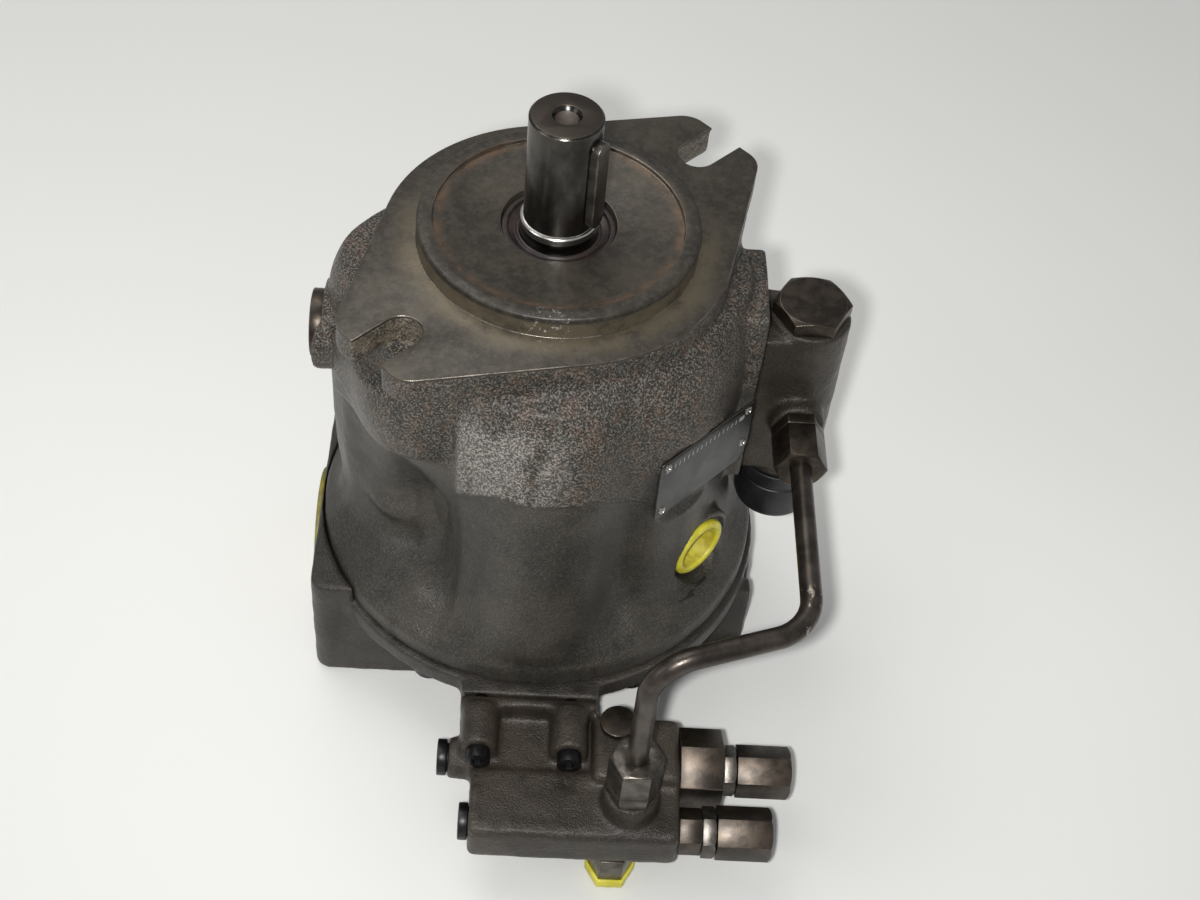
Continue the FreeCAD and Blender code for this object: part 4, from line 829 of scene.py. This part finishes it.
def build_drain_plug():
    """The drain port's plug: a rim, a cup inside it and a darker yellow in the cup."""
    face = extent("drain_port_plug", OUT)[1]
    side, up = middle_of("drain_port_plug")
    plug = turned("drain_plug_finished", [
        (0, -9), (10.2, -9), (11.0, -8), (11.7, 0.6), (12.4, 1.5), (14.6, 1.5), (16, 0.4), (16, -2.0),
        (12, -2.4), (12, -15.8), (0, -15.8)], plate_point(side, up, face - 0.6 * MM), OUT,
        "yellow_plastic", "case", round_by=0.5)
    plug.data.materials.append(CUP_YELLOW)
    centre = plate_point(side, up, face)
    for polygon in plug.data.polygons:
        offset = polygon.center - centre
        aside = (offset - OUT * offset.dot(OUT)).length
        in_cup = aside < 11.6 * MM and offset.dot(OUT) > -12 * MM
        polygon.material_index = 1 if in_cup else 0
    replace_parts(plug, "drain_port_plug")


def build_end_cap():
    """The controller's rubber cap, with a groove round it and its foot rounded in."""
    low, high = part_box("controller_end_cap")
    middle = (low + high) / 2
    half, tall = (high.x - low.x) / 2 / MM, (high.z - low.z) / MM
    cap = turned("end_cap_finished", [
        (half - 3, tall), (half - 0.2, tall), (half - 0.2, tall - 8), (half - 0.9, tall - 8.6),
        (half - 0.9, tall - 9.6), (half - 0.2, tall - 10.2), (half, 6), (half - 1.2, 2.2), (half - 4.2, 0),
        (6, 0.4), (0, 0.5), (0, 3), (half - 3, 3)], (middle.x, middle.y, low.z), UP,
        "black_rubber", "case", closed=True, round_by=0.4)
    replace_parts(cap, "controller_end_cap")


def build_shaft_seal():
    """The seal round the shaft: a ring with a lip, stained with rust."""
    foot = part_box("shaft_seal")[0].z
    seal = turned("shaft_seal_finished", [
        (17.5, 0), (25.6, 0), (25.6, 7.2), (24.9, 7.9), (22.9, 7.9), (22.2, 6.4), (19.4, 5.2), (18.4, 6.2),
        (17.5, 6.2)], (0, 0, foot), UP, "black_rubber", "case", STAINED_RUBBER, closed=True, round_by=0.25)
    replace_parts(seal, "shaft_seal")


def build_centre_grease():
    """Old grease in the threaded centre of the shaft's end."""
    turned("shaft_centre_grease", [(0, 0), (5.0, 0), (5.0, 4.6), (4.0, 3.4), (2.2, 2.4), (0, 2.0)],
           (0, 0, SHAFT_END - 6.5 * MM), UP, "dark_steel", "rotating_group", GREASE, sides=48)


def laid_on(target, outline, over, facing, depth, height):
    """A thin piece laid on a surface: its outline's points fall onto the target along minus facing."""
    feet, heads = [], []
    for point in outline:
        hit, spot, normal, _ = target.ray_cast(point + facing * over, -facing, distance=2 * over)
        if not hit:
            raise RuntimeError("the outline misses the surface")
        feet.append(spot - normal * depth)
        heads.append(spot + normal * height)
    mesh = bmesh.new()
    prism(mesh, feet, heads)
    bmesh.ops.recalc_face_normals(mesh, faces=mesh.faces)
    return mesh


def build_flow_arrow(casting):
    """The engraved arrow on the flare under the drain port, which points away from the port, drawn as a thin
    dark sheet of painted shade for its grooves.
    """
    facing = (OUT + UP * 0.8).normalized()
    side, up = middle_of("drain_port_plug")
    start = plate_point(side + 1 * MM, up - 18 * MM, 98 * MM)
    away = (ALONG * -1 - UP * 0.06).normalized()
    across = away.cross(facing).normalized()
    line, head, thin, wide = 13 * MM, 9 * MM, 0.6 * MM, 2.8 * MM
    end, barb, tip = start + away * line, start + away * (line - 1 * MM), start + away * (line + head)
    shaft = [start - across * thin, end - across * thin, end + across * thin, start + across * thin]
    wedge = [barb - across * wide, tip, barb + across * wide * 0.4]
    mesh = bmesh.new()
    for outline in (shaft, wedge):
        append_mesh(mesh, laid_on(casting, outline, 20 * MM, facing, 0.4 * MM, 0.2 * MM))
    new_piece("flow_arrow", smooth_mesh("flow_arrow", mesh), "case", "cast_iron_case", ARROW_GROOVE_SHADE)


# ---------------------------------------------------------------- steel parts
GREY_NODES = ("adjuster_locknuts", "valve_line_nut", "valve_line_fitting", "load_sense_fitting")
CORNER_WIDTHS_MM = {
    "controller_hex_plug": 0.5, "controller_line_fitting": 0.4, "controller_line_nut": 0.45,
    "valve_line_fitting": 0.4, "valve_line_nut": 0.45, "upper_adjuster_housing": 0.5,
    "lower_adjuster_housing": 0.4, "upper_cap_nut": 0.5, "lower_cap_nut": 0.5, "adjuster_locknuts": 0.4,
    "load_sense_fitting": 0.4, "load_sense_cap": 0.5, "valve_top_plug": 0.4, "valve_end_plugs": 0.5,
    "valve_screws": 0.35, "port_plate_screws": 0.4, "side_drain_plug": 0.5, "shaft_key": 0.5,
}


def build_steel():
    for node, width in CORNER_WIDTHS_MM.items():
        softened(node, width * MM, GREY_BRONZED if node in GREY_NODES else None)
    softened("drive_shaft", 0.6 * MM, SHAFT_STEEL)
    cover = softened("suction_port_cover", 0.6 * MM, COVER_YELLOW)
    cover.data.materials[1] = COVER_YELLOW


def dress_nodes():
    """Every CAD node that still shows gets its slot's material, and the tube its own."""
    for name, thing in nodes.items():
        thing.data.materials.clear()
        thing.data.materials.append(MATERIALS[slot_of_node[name]])
    low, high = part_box("control_tube")
    inset, bend_back = 5 * MM, 34 * MM
    upper_bend = (high.x - inset, low.y + bend_back, high.z - inset)
    nodes["control_tube"].data.materials[0] = tube_steel(
        "tube_steel", (0.042, 0.034, 0.028), (0.085, 0.071, 0.059), upper_bend, 18 * MM)


# ---------------------------------------------------------------- stage
CAMERA_AT = Vector((-0.0145, -0.5858, 0.5288))
CAMERA_AIM = Vector((0.0264, -0.0358, -0.1))
CAMERA_ROLL = 6.43
CAMERA_LENS = 53.16


def build_camera():
    data = bpy.data.cameras.new("camera")
    data.sensor_width = 36
    data.lens = CAMERA_LENS
    camera = bpy.data.objects.new("camera", data)
    bpy.context.scene.collection.objects.link(camera)
    camera.location = CAMERA_AT
    camera.rotation_mode = "QUATERNION"
    level = (CAMERA_AIM - CAMERA_AT).to_track_quat("-Z", "Y")
    camera.rotation_quaternion = level @ Quaternion((0, 0, 1), math.radians(CAMERA_ROLL))
    bpy.context.scene.camera = camera


def area_light(name, at, aim, size, power, colour=(1, 1, 1)):
    data = bpy.data.lights.new(name, "AREA")
    data.shape = "DISK"
    data.size = size
    data.energy = power
    data.color = colour
    light = bpy.data.objects.new(name, data)
    bpy.context.scene.collection.objects.link(light)
    light.location = at
    light.rotation_mode = "QUATERNION"
    light.rotation_quaternion = (Vector(aim) - Vector(at)).to_track_quat("-Z", "Y")


def build_floor():
    """A pale paper floor just under the object."""
    floor_mesh = bmesh.new()
    bmesh.ops.create_grid(floor_mesh, x_segments=8, y_segments=8, size=4)
    data = bpy.data.meshes.new("floor")
    floor_mesh.to_mesh(data)
    floor_mesh.free()
    floor = bpy.data.objects.new("floor", data)
    bpy.context.scene.collection.objects.link(floor)
    floor.location.z = cad_box[0].z - 0.2 * MM
    paper = Recipe("pale_floor", Specular_IOR_Level=0.2)
    tone = paper.blend(paper.noise(0.7, 3), rgb(0.76, 0.755, 0.725), rgb(0.82, 0.815, 0.79))
    # painted shade: the paper darkens smoothly towards the front, nearer the camera
    tone = paper.blend(paper.fall(paper.axis("Y"), -0.42, 0.1), tone, rgb(0.60, 0.597, 0.575))
    roughness = paper.span(paper.noise(0.3), 0.7, 0.85)
    floor.data.materials.append(paper.finish(Base_Color=tone, Roughness=roughness))


def build_lights():
    """A broad ceiling light, a small flash beside the lens, and weak light from a window and all round."""
    world = bpy.data.worlds.new("studio")
    world.use_nodes = True
    backdrop = world.node_tree.nodes["Background"]
    backdrop.inputs["Color"].default_value = rgb(0.95, 0.97, 1.0)
    backdrop.inputs["Strength"].default_value = 0.32
    bpy.context.scene.world = world
    middle = (cad_box[0] + cad_box[1]) / 2
    area_light("ceiling", (-0.5, 0.5, 1.5), middle, 1.3, 12.5, (1.0, 0.985, 0.96))
    area_light("flash", CAMERA_AT + Vector((-0.03, 0, -0.01)), middle, 0.03, 6.2)
    area_light("window", (-1.2, -0.5, 0.7), middle, 0.7, 2.5, (0.94, 0.97, 1.0))
    bpy.context.scene.view_settings.view_transform = "Standard"


build_camera()
build_floor()
build_lights()
dress_nodes()
build_castings()
build_nameplate()
build_plate_marks()
build_rivets()
build_drain_plug()
build_end_cap()
build_shaft_seal()
build_centre_grease()
build_steel()
